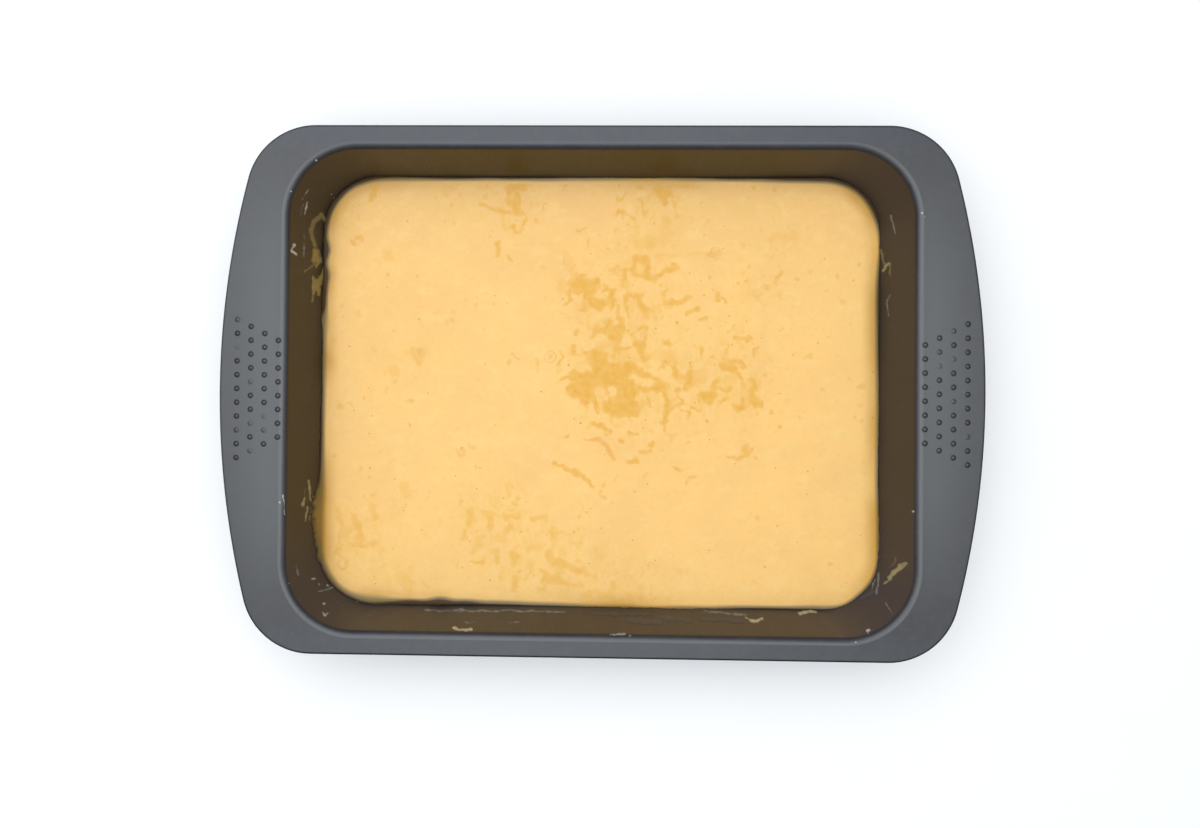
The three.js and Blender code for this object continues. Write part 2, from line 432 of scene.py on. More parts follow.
def rounded_loop(half_length, half_width, corner_radius, height, fine=1):
    """A rectangle with round corners. Fine multiplies its steps."""
    x = half_length - corner_radius
    y = half_width - corner_radius
    return closed_loop((
        line((half_length, -y), (half_length, y), HANDLE_STEPS * fine),
        arc((x, y), corner_radius, 0, QUARTER, CORNER_STEPS * fine),
        line((x, half_width), (-x, half_width), SIDE_STEPS * fine),
        arc((-x, y), corner_radius, QUARTER, 2 * QUARTER, CORNER_STEPS * fine),
    ), height)


def flange_loop(inset, height):
    """The tin's outer outline, moved in by inset."""
    handle_centre = TIN_HALF_LENGTH - HANDLE_ARC_RADIUS
    corner_y = TIN_HALF_WIDTH - TIN_CORNER_RADIUS
    reach = math.sqrt((HANDLE_ARC_RADIUS - TIN_CORNER_RADIUS) ** 2 - corner_y ** 2)
    corner_x = handle_centre + reach
    turn = math.atan2(corner_y, reach)
    corner_radius = TIN_CORNER_RADIUS - inset
    side_y = TIN_HALF_WIDTH - inset
    return closed_loop((
        arc((handle_centre, 0), HANDLE_ARC_RADIUS - inset, -turn, turn, HANDLE_STEPS),
        arc((corner_x, corner_y), corner_radius, turn, QUARTER, CORNER_STEPS),
        line((corner_x, side_y), (-corner_x, side_y), SIDE_STEPS),
        arc((-corner_x, corner_y), corner_radius, QUARTER, 2 * QUARTER - turn, CORNER_STEPS),
    ), height)


def wall_size(offset, height):
    """Half length, half width and corner radius of the inside wall at a height."""
    drop = WALL_TOP_Z - height
    share = drop / (WALL_TOP_Z - SHEET)
    half_length = WALL_TOP[0] - drop * math.tan(END_WALL_SLOPE) + offset / math.cos(END_WALL_SLOPE)
    half_width = WALL_TOP[1] - drop * math.tan(SIDE_WALL_SLOPE) + offset / math.cos(SIDE_WALL_SLOPE)
    radius = WALL_TOP[2] + (FLOOR_CORNER_RADIUS - WALL_TOP[2]) * share + offset
    return half_length, half_width, radius


def wall_loop(offset, height, fine=1):
    """An outline of the wall at a height, offset outwards from its inside."""
    return rounded_loop(*wall_size(offset, height), height, fine)


def fillet_loop(offset, angle):
    """The fillet between wall and floor. MEAN_SLOPE touches the wall, QUARTER the floor."""
    radius = FLOOR_FILLET + offset
    half_length, half_width, _ = wall_size(0, SHEET)

    def from_corner(slope):
        return FLOOR_FILLET * (math.tan(slope) - 1 / math.cos(slope)) + radius * math.cos(angle)

    height = SHEET + FLOOR_FILLET - radius * math.sin(angle)
    return rounded_loop(
        half_length + from_corner(END_WALL_SLOPE),
        half_width + from_corner(SIDE_WALL_SLOPE),
        FLOOR_CORNER_RADIUS + from_corner(MEAN_SLOPE),
        height,
    )


def roll_loop(offset, angle):
    """The roll between flange and wall. Angle 0 is the flat flange."""
    radius = ROLL_RADIUS - offset
    sizes = MOUTH - radius * math.sin(angle)
    return rounded_loop(*sizes, TIN_HEIGHT - ROLL_RADIUS + radius * math.cos(angle))


def sweep(steps, start, end, loop_at):
    """The loops of a curved stretch, at evenly spaced values, ends included."""
    return [loop_at(value) for value in np.linspace(start, end, steps + 1)]


print("points in each outline:", len(wall_loop(0, 20)))

# %% [markdown]
# ## The coating
#
# The steel carries a dark grey coating with a fine grain. It is not a mirror, but its
# sheen takes the light's grey on the flat flange and the cake's brown on the walls. The
# base colour is almost black, because the sheen is what the photo shows. Roughness
# changes in cloudy patches from years of wiping, and a fine bump gives the grain.

# %% Finish of the tin
COATING = (0.0225, 0.0245, 0.0285)
COATING_BLUE = (0.0215, 0.0250, 0.0370)
COATING_DUSTY = (0.0430, 0.0460, 0.0530)
# the coating rubbed by hands, and also the painted highlight along the roll's crest
COATING_WORN_AND_HIGHLIT = (0.0680, 0.0720, 0.0770)
WALL_GREASE = (0.0050, 0.0042, 0.0034)
# painted bluish reflection on the greased wall
WALL_SHEEN = (0.0110, 0.0170, 0.0430)
# painted shade: a near-black matte colour laid in the hem and in a ring on each pip
PAINTED_SHADE = (0.0070, 0.0070, 0.0080)
GREASE_TOP = (0.0476, 0.0492)  # metres, the heights where the greased wall fades out on the roll

# Stretches of the tin in metres from its middle: where each one starts, and where it is full.
WALL_ENDS = (0.080, 0.132)
NEAR_WALL = (0.040, 0.105)
LONG_SIDES = (0.112, 0.119)
NEAR_FLANGE = (0.108, 0.122)
FAR_FLANGE = (0.100, 0.117)
HANDLES = (0.140, 0.156)
HANDLE_EDGES = (0.156, 0.178)
HANDLE_CORNERS = (0.030, 0.112)
NEAR_HALF = (0.060, 0.122)
RIGHT_HANDLE = (0.150, 0.178)


def grease_and_sheen_colour(finish):
    """The brown film inside the wall, with a painted bluish reflection on the near wall and at the ends."""
    x, y, _ = finish.axes()
    # painted reflection: paler and bluer on the near wall and at the ends, most at the right end
    ends = x.within(*WALL_ENDS) * 0.46 + (-x).within(*WALL_ENDS) * 0.22
    thin = (-y).within(*NEAR_WALL) * 0.50 + ends
    return finish.mix(thin, WALL_GREASE, WALL_SHEEN)


def coating_colour(finish, clouds, wiped):
    """The dry coating: bluer on the long sides, dusty in patches, paler on the near flange, worn by hands
    and cloths, with a painted highlight on the roll's crest.
    """
    x, y, _ = finish.axes()
    bare = finish.mix(y.away(*LONG_SIDES), COATING, COATING_BLUE)
    specks = finish.noise(2.2, detail=4, roughness=0.75).within(0.46, 0.78)
    dusty = wiped.within(0.34, 0.72) * 0.40 + specks * 0.35 + (-y).within(*NEAR_FLANGE) * 0.28
    held = x.away(*HANDLES) * (1 - y.away(*HANDLE_CORNERS)) * (1 - x.away(*HANDLE_EDGES) * 0.75)
    # painted highlight along the crest of the roll, weaker on the far side
    crest = finish.attribute("crest") * (0.80 - y.within(*FAR_FLANGE) * 0.50)
    worn_and_highlit = held * (0.50 + clouds * 0.40) + crest
    return finish.mix(worn_and_highlit, finish.mix(dusty, bare, COATING_DUSTY), COATING_WORN_AND_HIGHLIT)


def painted_shade_mask(finish):
    """Painted shade: dark in the hem, most of it on the near side and to the right, and in a ring on each
    pip.
    """
    x, y, _ = finish.axes()
    share = 0.20 + (-y).within(*NEAR_HALF) * 0.80 + x.within(*RIGHT_HANDLE) * 0.55
    return finish.attribute("hem").within(0.0, 0.25) * share + finish.attribute("foot")


def coated_steel_material():
    finish = new_finish("coated_steel")
    z = finish.axes()[2]
    clouds = finish.noise(38, detail=3)
    wiped = finish.noise(9, detail=5, roughness=0.65)
    grain = finish.noise(0.7, detail=3, roughness=0.7)
    runs = finish.noise(5, detail=3, roughness=0.6, stretch=(1, 1, 0.25))
    greased = 1 - z.within(*GREASE_TOP)
    dry_roughness = 0.30 + wiped * 0.08 + clouds * 0.06
    greased_roughness = 0.22 + runs * 0.14
    coat = finish.node("ShaderNodeBsdfPrincipled", sockets={
        "Base Color": finish.mix(greased, coating_colour(finish, clouds, wiped), grease_and_sheen_colour(finish)),
        "Roughness": dry_roughness * (1 - greased) + greased_roughness * greased,
        "Normal": finish.bump(grain, 0.035, under=finish.bump(wiped, 0.06)),
        "IOR": 1.56, "Specular IOR Level": 0.5,
    })
    # a matte near-black shader, mixed in as painted shade
    shade_shader = finish.node("ShaderNodeBsdfPrincipled", sockets={
        "Base Color": (*PAINTED_SHADE, 1), "Roughness": 0.85, "IOR": 1.2,
    })
    mixed = finish.node("ShaderNodeMixShader", sockets={0: painted_shade_mask(finish), 1: coat, 2: shade_shader})
    return finish.surface(mixed)


coated_steel = coated_steel_material()
print("finish:", coated_steel.name)

# %% [markdown]
# ## The baking tin
#
# One closed shell, from the floor inside, up the wall, over the roll and the flange,
# round the hem and back underneath. Narrow loops on both sides of each bend keep the
# flat stretches flat under smooth shading, which a bevel would do on a drawn shape.

# %% Tin
WALL_STEPS = 3
WALL_MARGIN = 1  # the wall's last loop lies this far under the roll
ROLL_STEPS = 12
FILLET_STEPS = 8
HEM_STEPS = 12
BEND_MARGIN = 0.4  # a supporting loop this far from each bend
FLOOR_SHARES = (0.3, 0.98)  # supporting loops of the flat floor, as shares of its edge
FLANGE_SHARES = (0.02, 0.25, 0.5, 0.75, 0.98)
CREST_TURN = 0.10  # radians down from the flange, where the painted highlight on the roll is strongest
CREST_BREADTH = 0.26


def shrunk(loop, share):
    """A loop drawn in towards the middle, at the same height."""
    return loop * (share, share, 1)


def hem_loop(angle):
    """The hem, rounded over the flange's edge. Angle 0 is its top."""
    inset = HEM_RADIUS * (1 - math.sin(angle))
    return flange_loop(inset, TIN_HEIGHT - HEM_RADIUS + HEM_RADIUS * math.cos(angle))


def crest_highlight_share(angle):
    """How strong the painted highlight on the roll is: most just where the flange bends down."""
    return math.exp(-((angle - CREST_TURN) / CREST_BREADTH) ** 2)


def tin_loops():
    """The tin's loops, and by loop number the painted highlight on the roll's crest and the fold of the hem.
    """
    floor_edge = fillet_loop(0, QUARTER)
    below_edge = fillet_loop(SHEET, QUARTER)
    roll_end = QUARTER - MEAN_SLOPE
    wall_foot, wall_top = SHEET + FLOOR_FILLET, WALL_TOP_Z - WALL_MARGIN
    flange = [roll_loop(0, 0) * (1 - share) + hem_loop(0) * share for share in FLANGE_SHARES]
    fold_z = TIN_HEIGHT - 2 * HEM_RADIUS
    fold_inset = HEM_RADIUS + HEM_FOLD
    inside = [
        *(shrunk(floor_edge, share) for share in FLOOR_SHARES),
        *sweep(FILLET_STEPS, QUARTER, MEAN_SLOPE, lambda angle: fillet_loop(0, angle)),
        *sweep(WALL_STEPS, wall_foot, wall_top, lambda z: wall_loop(0, z)),
    ]
    roll = sweep(ROLL_STEPS, roll_end, 0, lambda angle: roll_loop(0, angle))
    hem = sweep(HEM_STEPS, 0, math.pi, hem_loop)
    outside = [
        flange_loop(HEM_RADIUS + BEND_MARGIN, fold_z),
        flange_loop(fold_inset - BEND_MARGIN, fold_z),
        flange_loop(fold_inset, fold_z),
        flange_loop(fold_inset, TIN_HEIGHT - SHEET),
        flange_loop(fold_inset + BEND_MARGIN, TIN_HEIGHT - SHEET),
        *sweep(ROLL_STEPS, 0, roll_end, lambda angle: roll_loop(SHEET, angle)),
        *sweep(WALL_STEPS, wall_top, wall_foot, lambda z: wall_loop(SHEET, z)),
        *sweep(FILLET_STEPS, MEAN_SLOPE, QUARTER, lambda angle: fillet_loop(SHEET, angle)),
        *(shrunk(below_edge, share) for share in reversed(FLOOR_SHARES)),
    ]
    loops = [*inside, *roll, *flange, *hem, *outside]
    crest, fold = np.zeros(len(loops)), np.zeros(len(loops))
    crest[len(inside):][:len(roll)] = sweep(ROLL_STEPS, roll_end, 0, crest_highlight_share)
    hem_start = len(inside) + len(roll) + len(flange)
    fold[hem_start:][:len(hem)] = sweep(HEM_STEPS, 0, math.pi, lambda angle: math.sin(angle) ** 2)
    return loops, crest, fold


def build_tin():
    loops, crest, fold = tin_loops()
    points, faces = loft(loops)
    per_loop = len(loops[0])
    hubs = (0.0, 0.0)  # the two middle points that loft adds
    numbers = {"crest": crest, "hem": fold}
    numbers = {key: np.append(np.repeat(values, per_loop), hubs) for key, values in numbers.items()}
    return add_piece("pressed_tin", points, faces, coated_steel, numbers)


tin = build_tin()
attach(tin, "root")
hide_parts("baking_tin")
print("tin:", len(tin.data.polygons), "faces, size in mm", [round(d / MM, 1) for d in tin.dimensions])

# %% [markdown]
# ## Grip pips
#
# Both handles carry 38 small raised pips, in columns of 11, 10, 9 and 8 that are half a
# step out of line. Pressed from the sheet, each one swells smoothly out of the flange,
# and use has worn some of them flatter. A dark ring painted on each pip's flank stands in
# for the shade there. The mesh carries that painted shade as a number, so that a flat pip
# shows less of it.

# %% Pips
PIP_RADIUS = 1.6
PIP_HEIGHT = 0.6
PIP_FOOT = 0.3  # how deep the pip's closed foot is sunk into the flange
PIP_PITCH = 6.57
PIPS_PER_COLUMN = (11, 10, 9, 8)
PIP_EDGE_MARGIN = 8.7
PIP_SHIFT = -0.2
PIP_ROUNDNESS = 0.8  # below 1, its top is broader than a plain wave's
PIP_SUNK = 0.02  # its rim lies this deep in the flange
PIP_SHADE_SHARE = 0.62  # how much of the coating the painted ring of shade hides
PIP_SHADE_RING = 0.62  # the ring's place and breadth, as shares of the pip's radius
PIP_SHADE_BREADTH = 0.28
PIP_RINGS = 10
PIP_HUB = 0.08  # its smallest ring, as a share of the radius
PIP_SEGMENTS = 24
WORN_PIPS = {  # side, column from the handle's edge, pip from the near end: what is left of its height
    (-1, 0, 2): 0.6, (-1, 0, 8): 0.2, (-1, 0, 10): 0.6, (-1, 1, 0): 0.4, (-1, 1, 2): 0.4,
    (-1, 1, 5): 0.4, (-1, 2, 1): 0.5, (-1, 2, 2): 0.3, (1, 0, 2): 0.35, (1, 1, 4): 0.5,
    (1, 1, 7): 0.35, (1, 1, 9): 0.55, (1, 2, 6): 0.3, (1, 2, 7): 0.7,
}


def placed_pips():
    """The place of each pip, and what is left of its height."""
    for end in (-1, 1):
        for column, pips in enumerate(PIPS_PER_COLUMN):
            x = TIN_HALF_LENGTH - PIP_EDGE_MARGIN - column * PIP_PITCH
            for pip in range(pips):
                y = PIP_SHIFT + (pip - (pips - 1) / 2) * PIP_PITCH
                yield (end * x, y, TIN_HEIGHT), WORN_PIPS.get((end, column, pip), 1.0)


def bell(share):
    """Height of a pip at a share of its radius."""
    return PIP_HEIGHT * (0.5 + 0.5 * math.cos(math.pi * share)) ** PIP_ROUNDNESS


def round_turns(segments):
    """The angles of evenly spaced points on a circle."""
    return np.arange(segments) * 2 * math.pi / segments


def turned_loops(profile, angles, waver=1.0):
    """Loops turned round Z. Profile: (radius, height) from the top down."""
    circle = np.column_stack((waver * np.cos(angles), waver * np.sin(angles), np.zeros(len(angles))))
    return [circle * radius + (0, 0, height) for radius, height in profile]


def gathered(shapes):
    """Small shapes, each its points and faces, joined into a single mesh."""
    starts = np.cumsum([0] + [len(points) for points, _ in shapes])
    faces = [[v + start for v in face] for start, (_, own) in zip(starts, shapes) for face in own]
    return np.vstack([points for points, _ in shapes]), faces


def build_pips():
    shares = np.linspace(PIP_HUB, 1, PIP_RINGS)
    profile = [(PIP_RADIUS * share, bell(share) - PIP_SUNK) for share in shares]
    profile.append((PIP_RADIUS, -PIP_FOOT))
    pip, faces = loft(turned_loops(profile, round_turns(PIP_SEGMENTS)))
    away = np.hypot(pip[:, 0], pip[:, 1]) / PIP_RADIUS
    # a ring of painted shade on the pip's flank, weaker where the pip is worn flatter
    ring_shade = PIP_SHADE_SHARE * np.exp(-((away - PIP_SHADE_RING) / PIP_SHADE_BREADTH) ** 2)
    pips = [(pip * (1, 1, left) + place, faces) for place, left in placed_pips()]
    foot = np.concatenate([ring_shade * left for _, left in placed_pips()])
    return add_piece("grip_pips", *gathered(pips), coated_steel, {"foot": foot})


pips = build_pips()
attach(pips, "root")
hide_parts("baking_tin")
print("pips:", len(list(placed_pips())), "of which worn:", len(WORN_PIPS))

# %% [markdown]
# ## The sponge's shape
#
# The sponge was poured as a batter and soaked afterwards, so its top is level, with a few
# slow waves, and rounds over where it clings to the wall. Its outline wavers a little
# where the edge has let go of the steel. It is lofted like the tin, from a hub in the
# middle out to the wall and down, so that the rounded shoulder follows the tin closely.

# %% Sponge
SPONGE_LEVEL = 19.0
SPONGE_SHOULDER = 1.4
SPONGE_RELIEF = 0.25
CLEARANCE = 0.3
TOP_LOOPS = 120
TOP_CROWDING = 1.6  # above 1, the loops lie closer together towards the edge
SHOULDER_STEPS = 10
EDGE_WAVER = 0.12  # mm, how far the edge comes and goes
WAVER_FADE = 8  # the higher, the sooner the wavering dies down inwards
EDGE_WAVES = ((7, 0.6, 1.0), (17, 2.0, 0.7), (41, 4.4, 0.5))  # waves to a turn, phase, strength
WAVES_REACH = 4.4  # twice their strengths together
CALM_BORDER = 30.0  # mm beside the wall in which the top's slow waves die down


def top_relief(x, y):
    """Slow waves of the top, some 200 to 400 mm long."""
    along = np.sin(x / 31 + 0.8) * np.cos(y / 43 - 0.4)
    across = np.sin(x / 67 - y / 38 + 2.1)
    return SPONGE_RELIEF * (along + across) / 2


def inside_distance(x, y, half_length, half_width, radius):
    """How far a point lies inside a rectangle with round corners, in mm."""
    past_x = np.abs(x) - (half_length - radius)
    past_y = np.abs(y) - (half_width - radius)
    corner = np.hypot(np.maximum(past_x, 0), np.maximum(past_y, 0))
    return radius - corner - np.minimum(np.maximum(past_x, past_y), 0)


def edge_distance(x, y):
    """How far a point of the top lies inside the sponge's upright edge, in mm."""
    return inside_distance(x, y, *wall_size(-CLEARANCE, SPONGE_LEVEL))


def shoulder_drop(distance):
    """How far the rounded shoulder falls below the level top."""
    reach = np.clip(1 - distance / SPONGE_SHOULDER, 0, 1)
    return SPONGE_SHOULDER * (1 - np.sqrt(1 - reach ** 2))


def open_top(x, y):
    """Height of the sponge's surface, its rounded shoulder left out."""
    calm = np.clip(edge_distance(x, y) / CALM_BORDER, 0, 1)
    return SPONGE_LEVEL + top_relief(x, y) * calm * (2 - calm)


def sponge_top(x, y):
    """Height of the sponge's surface, its shoulder included."""
    return open_top(x, y) - shoulder_drop(edge_distance(x, y))


def wavered(loop, depth):
    """A loop pushed in and out by a few waves along the sponge's edge."""
    turn = np.arctan2(loop[:, 1], loop[:, 0])
    waves = sum(strength * np.sin(count * turn + phase) for count, phase, strength in EDGE_WAVES)
    inward = -loop[:, :2] / np.linalg.norm(loop[:, :2], axis=1)[:, None]
    moved = loop.copy()
    moved[:, :2] += inward * (depth * (0.5 + waves / WAVES_REACH))[:, None]
    return moved


def build_sponge():
    edge = wall_loop(-CLEARANCE - SPONGE_SHOULDER, SPONGE_LEVEL)
    loops = []
    for share in 1 - np.linspace(0.98, 0, TOP_LOOPS) ** TOP_CROWDING:
        loop = wavered(shrunk(edge, share), EDGE_WAVER * share ** WAVER_FADE)
        loop[:, 2] = sponge_top(loop[:, 0], loop[:, 1])
        loops.append(loop)
    for angle in np.linspace(QUARTER, 0, SHOULDER_STEPS + 1)[1:]:
        inset = CLEARANCE + SPONGE_SHOULDER * (1 - math.cos(angle))
        height = SPONGE_LEVEL - SPONGE_SHOULDER * (1 - math.sin(angle))
        loops.append(wavered(wall_loop(-inset, height), EDGE_WAVER))
    loops += sweep(FILLET_STEPS, MEAN_SLOPE, QUARTER, lambda a: fillet_loop(-CLEARANCE, a))
    points, faces = loft(loops)
    return add_piece("wet_sponge", points, faces, wet_sponge, sponge_numbers(*points.T[:2]))


print("the sponge's level:", SPONGE_LEVEL, "mm up,", TIN_HEIGHT - SPONGE_LEVEL, "mm under the rim")

# %% [markdown]
# ## Where the crumb is fullest
#
# Syrup was poured on in a few places and spread from there, so the crumb is mottled with
# amber round them. Towards the wall it is golden, widely in some places and hardly in
# others, and its edge comes and goes. Soft round spots, read off the photo, say both: each
# one is a place, a radius and its strengths. The mesh carries their sums as numbers at
# each vertex, which the finish turns into colours.

# %% Soaked spots
PIXEL_ON_SPONGE = float(np.linalg.norm(np.diff(on_level((600, 400, 601, 400), SPONGE_LEVEL), axis=0)))
SOAKED_SPOTS = [  # pixels of the photo: place, radius and strength
    (612, 385, 42, 0.9), (655, 370, 34, 0.6), (700, 385, 42, 0.7), (745, 390, 30, 0.6),
    (590, 292, 30, 0.8), (628, 262, 34, 0.7), (625, 325, 34, 0.8), (660, 300, 30, 0.4),
    (600, 345, 26, 0.6), (655, 238, 22, 0.7), (660, 195, 24, 0.7), (513, 195, 22, 0.7),
    (510, 225, 16, 0.5), (640, 430, 40, 0.3), (735, 340, 40, 0.3), (760, 285, 24, 0.4),
    (500, 525, 42, 0.7), (550, 570, 44, 0.8), (590, 580, 30, 0.6), (630, 597, 40, 0.8),
    (360, 530, 34, 0.8), (405, 580, 26, 0.5), (785, 236, 30, 0.4), (390, 370, 30, 0.2),
    (345, 215, 22, 0.6), (420, 352, 14, 0.7), (460, 190, 30, 0.3), (740, 210, 60, 0.2),
]
BRIM_SPOTS = [  # place and radius, then the mm that the edge lies further in, its gold and its crispness
    (872, 212, 22, 0.5, 0.8, 0.5), (858, 196, 18, 0.0, 0.7, 0.3), (878, 243, 18, -1.0, 0.2, 0.5),
    (878, 262, 16, -0.45, 0.3, 0.3), (878, 300, 34, 0.35, 0.9, 0.7), (878, 350, 30, 0.05, 0.8, 0.5),
    (878, 430, 50, -0.5, 0.85, 0.2), (878, 512, 20, -0.5, 0.6, 0.1), (877, 550, 34, -0.9, 0.8, 0.2),
    (872, 582, 18, -0.6, 0.3, 0.5), (843, 604, 12, -0.8, 0.1, 0.4), (815, 608, 18, 0.4, 0.1, 0.0),
    (770, 607, 34, -0.1, 0.0, 0.7), (706, 607, 22, -0.7, 0.0, 0.0), (655, 607, 30, -1.3, 0.2, 0.0),
    (622, 606, 26, -0.1, 0.5, 0.0), (600, 606, 26, -0.9, 0.4, -0.2), (500, 603, 26, 0.7, 0.0, 0.0),
    (465, 602, 16, 1.2, 0.1, 0.3), (440, 600, 12, 2.3, 0.4, 0.1), (412, 601, 18, 1.0, 0.2, 0.9),
    (372, 600, 24, 1.8, 0.6, -0.5), (326, 578, 16, 0.3, 0.2, -0.1), (322, 548, 24, 0.0, 0.8, -0.2),
    (321, 520, 24, -0.9, 0.9, -0.6), (322, 494, 16, 0.1, 0.7, -0.3), (323, 470, 18, 0.1, 0.6, -0.2),
    (324, 430, 30, -0.2, 0.1, 0.4), (326, 360, 22, 0.0, 0.9, -0.1), (328, 320, 14, 0.5, 0.4, -0.5),
    (328, 304, 10, 0.4, 0.3, 0.8), (328, 289, 10, 0.8, 0.7, 0.8), (330, 275, 9, 1.8, 0.7, 0.6),
    (330, 265, 8, 0.1, 0.4, 0.4), (330, 250, 10, 2.0, 0.6, 0.9), (330, 226, 14, 0.8, 0.7, 0.6),
    (331, 212, 12, 0.2, 0.5, 0.4), (337, 198, 18, 0.8, 0.6, 0.8), (365, 183, 20, 0.9, 0.5, 0.4),
    (400, 180, 34, 0.3, 0.4, 0.0), (455, 178, 34, 0.3, 0.0, 0.7), (512, 178, 18, 0.1, 0.0, 0.7),
    (545, 178, 20, 0.35, 0.0, 0.2), (650, 178, 34, -0.6, 0.45, 0.0), (690, 178, 20, 0.0, 0.3, 0.0),
    (732, 178, 24, 0.25, 0.0, 0.6), (790, 180, 32, 0.85, 0.2, 0.4), (832, 184, 24, 1.0, 0.3, 0.4),
]
BRIM_GOLD = 0.06  # how golden the brim is everywhere
BRIM_MIDDLE = 1.35  # mm from the edge where half of the crumb's colour is reached
BRIM_CRISP = 0.12  # how much steeper than a plain ramp the brim's colour changes everywhere


def spot_sums(x, y, spots):
    """Sums of soft round spots at places in mm: one sum for each strength of a spot."""
    sums = 0.0
    for u, v, radius, *strengths in spots:
        place = on_level((u, v), SPONGE_LEVEL)[0]
        away = np.hypot(x - place[0], y - place[1]) / (radius * PIXEL_ON_SPONGE)
        sums = sums + np.multiply.outer(strengths, np.exp(-away ** 2))
    return sums


def soak_at(x, y):
    """How full of syrup the crumb is at a place in mm, from 0 to about 1."""
    return 1 - np.exp(-spot_sums(x, y, SOAKED_SPOTS)[0])


def sponge_numbers(x, y, from_wall=None):
    """What the finish of crumb reads at each vertex: its soak, brim and goldness."""
    if from_wall is None:
        from_wall = edge_distance(x, y) + CLEARANCE
    inward, golden, crisp = spot_sums(x, y, BRIM_SPOTS)
    from_edge = from_wall - inward
    return {
        "soak": soak_at(x, y),
        "from_edge": from_edge,
        "crisp_edge": (from_edge - BRIM_MIDDLE) * (1 + BRIM_CRISP + crisp) + BRIM_MIDDLE,
        "golden": np.minimum(BRIM_GOLD + golden, 1),
    }


print("spots:", len(SOAKED_SPOTS), "one pixel is", round(PIXEL_ON_SPONGE, 3), "mm on the sponge")

# %% [markdown]
# ## The sponge's finish
#
# Wet crumb is pale caramel, a little duller and pinker towards the tin's far long side
# and its left end, where less light reaches it. It is mottled on several scales, and its
# brim turns golden, then olive, where it thins out on the steel. Soaked crumb shines, but
# softly, so the roughness varies in patches, and a fine bump stands for the finest pores.

# %% Finish of the sponge
CRUMB = (0.815, 0.500, 0.152)
CRUMB_DULL = (0.720, 0.425, 0.140)
CRUMB_WARM = (0.830, 0.475, 0.135)
CRUMB_PALE = (0.820, 0.545, 0.190)
CRUMB_AMBER = (0.660, 0.390, 0.080)
SOAKED_AMBER = (0.690, 0.400, 0.062)
BRIM_GOLDEN = (0.520, 0.275, 0.038)
BRIM_OLIVE = (0.235, 0.182, 0.100)
BRIM_AMBER = (0.200, 0.145, 0.050)
BRIM_BROWN = (0.070, 0.040, 0.011)
CRUMB_LAYERS = (  # noise's size in mm, detail, roughness, stretch and limits; strength and colour
    (60, 2, 0.5, (1, 1, 1), (0.40, 0.62), 0.30, CRUMB_WARM),
    (24, 5, 0.58, (1, 1, 1), (0.38, 0.70), 0.34, CRUMB_DULL),
    (7, 4, 0.6, (0.8, 1.2, 1), (0.48, 0.70), 0.40, CRUMB_PALE),
    (2.6, 3, 0.6, (1, 1, 1), (0.50, 0.72), 0.22, CRUMB_AMBER),
)
FAR_HALF = (0.035, 0.125)  # metres from the middle: where it starts, and where it is full
LEFT_END = (0.085, 0.165)
GOLD_FADE = (2.0, 11.0)  # mm from the edge: where a colour of the brim starts to fade, and ends
THIN_FADE = (0.0, 2.7)
BROWN_FADE = (-1.3, 0.25)
GOLD_WAVER = 2.4  # mm that the gold's end comes and goes


def crumb_colour(finish):
    """The colour of crumb away from its brim."""
    x, y, _ = finish.axes()
    dull = y.within(*FAR_HALF) * 0.75 + (-x).within(*LEFT_END) * 0.30
    colour = finish.mix(dull, CRUMB, CRUMB_DULL)
    for size, detail, roughness, stretch, limits, strength, layer in CRUMB_LAYERS:
        cloud = finish.noise(size, detail, roughness, stretch).within(*limits)
        colour = finish.mix(cloud * strength, colour, layer)
    blotch = finish.noise(5.5, detail=5, roughness=0.62, stretch=(1.25, 0.8, 1)).within(0.44, 0.66)
    thread = finish.noise(1.7, detail=4, roughness=0.6, stretch=(1.4, 0.7, 1)).within(0.50, 0.72)
    soaked = finish.attribute("soak") * (0.10 + blotch * 0.70 + thread * 0.40)
    return finish.mix(soaked, colour, SOAKED_AMBER)


def brim_colour(finish):
    """Crumb with its brim, shared by all that lies on it and shows it through."""
    crisp_edge = finish.attribute("crisp_edge")
    golden = finish.attribute("golden")
    waver = finish.noise(9, detail=3) * GOLD_WAVER
    near = 1 - (finish.attribute("from_edge") + waver).within(*GOLD_FADE)
    gilded = finish.mix(near * golden, crumb_colour(finish), BRIM_GOLDEN)
    thin = finish.mix(golden, BRIM_OLIVE, BRIM_AMBER)
    thinned = finish.mix(1 - crisp_edge.within(*THIN_FADE), gilded, thin)
    return finish.mix(1 - crisp_edge.within(*BROWN_FADE), thinned, BRIM_BROWN)


def wet_sponge_material():
    finish = new_finish("wet_sponge")
    colour = brim_colour(finish)
    pores = finish.noise(1.1, detail=3, roughness=0.6)
    swells = finish.noise(9, detail=2)
    normal = finish.bump(pores, 0.05, under=finish.bump(swells, 0.25))
    shader = finish.node("ShaderNodeBsdfPrincipled", sockets={
        "Base Color": colour, "Roughness": 0.30 + pores * 0.14, "Normal": normal,
        "IOR": 1.40, "Specular IOR Level": 0.5,
    })
    return finish.surface(shader)


wet_sponge = wet_sponge_material()
sponge = build_sponge()
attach(sponge, "root")
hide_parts("soaked_sponge")
print("sponge:", len(sponge.data.polygons), "faces, top at", round(sponge.bound_box[1][2] / MM, 2), "mm")

# %% [markdown]
# ## Films that follow marks in the photo
#
# Pools of syrup, smears of batter and flecks are all thin films on a surface. Painting
# them into a texture would need an image, and modelling each by hand would take days.
# Here each film starts as a few strokes, read off the photo as routes with a radius, all
# in pixels. The strokes melt into one field of distances, noise frays its outline, and
# the field becomes the film's thickness. Outside the outline that is negative, so the
# film dips under the surface that carries it, and it ends where the two surfaces cross.

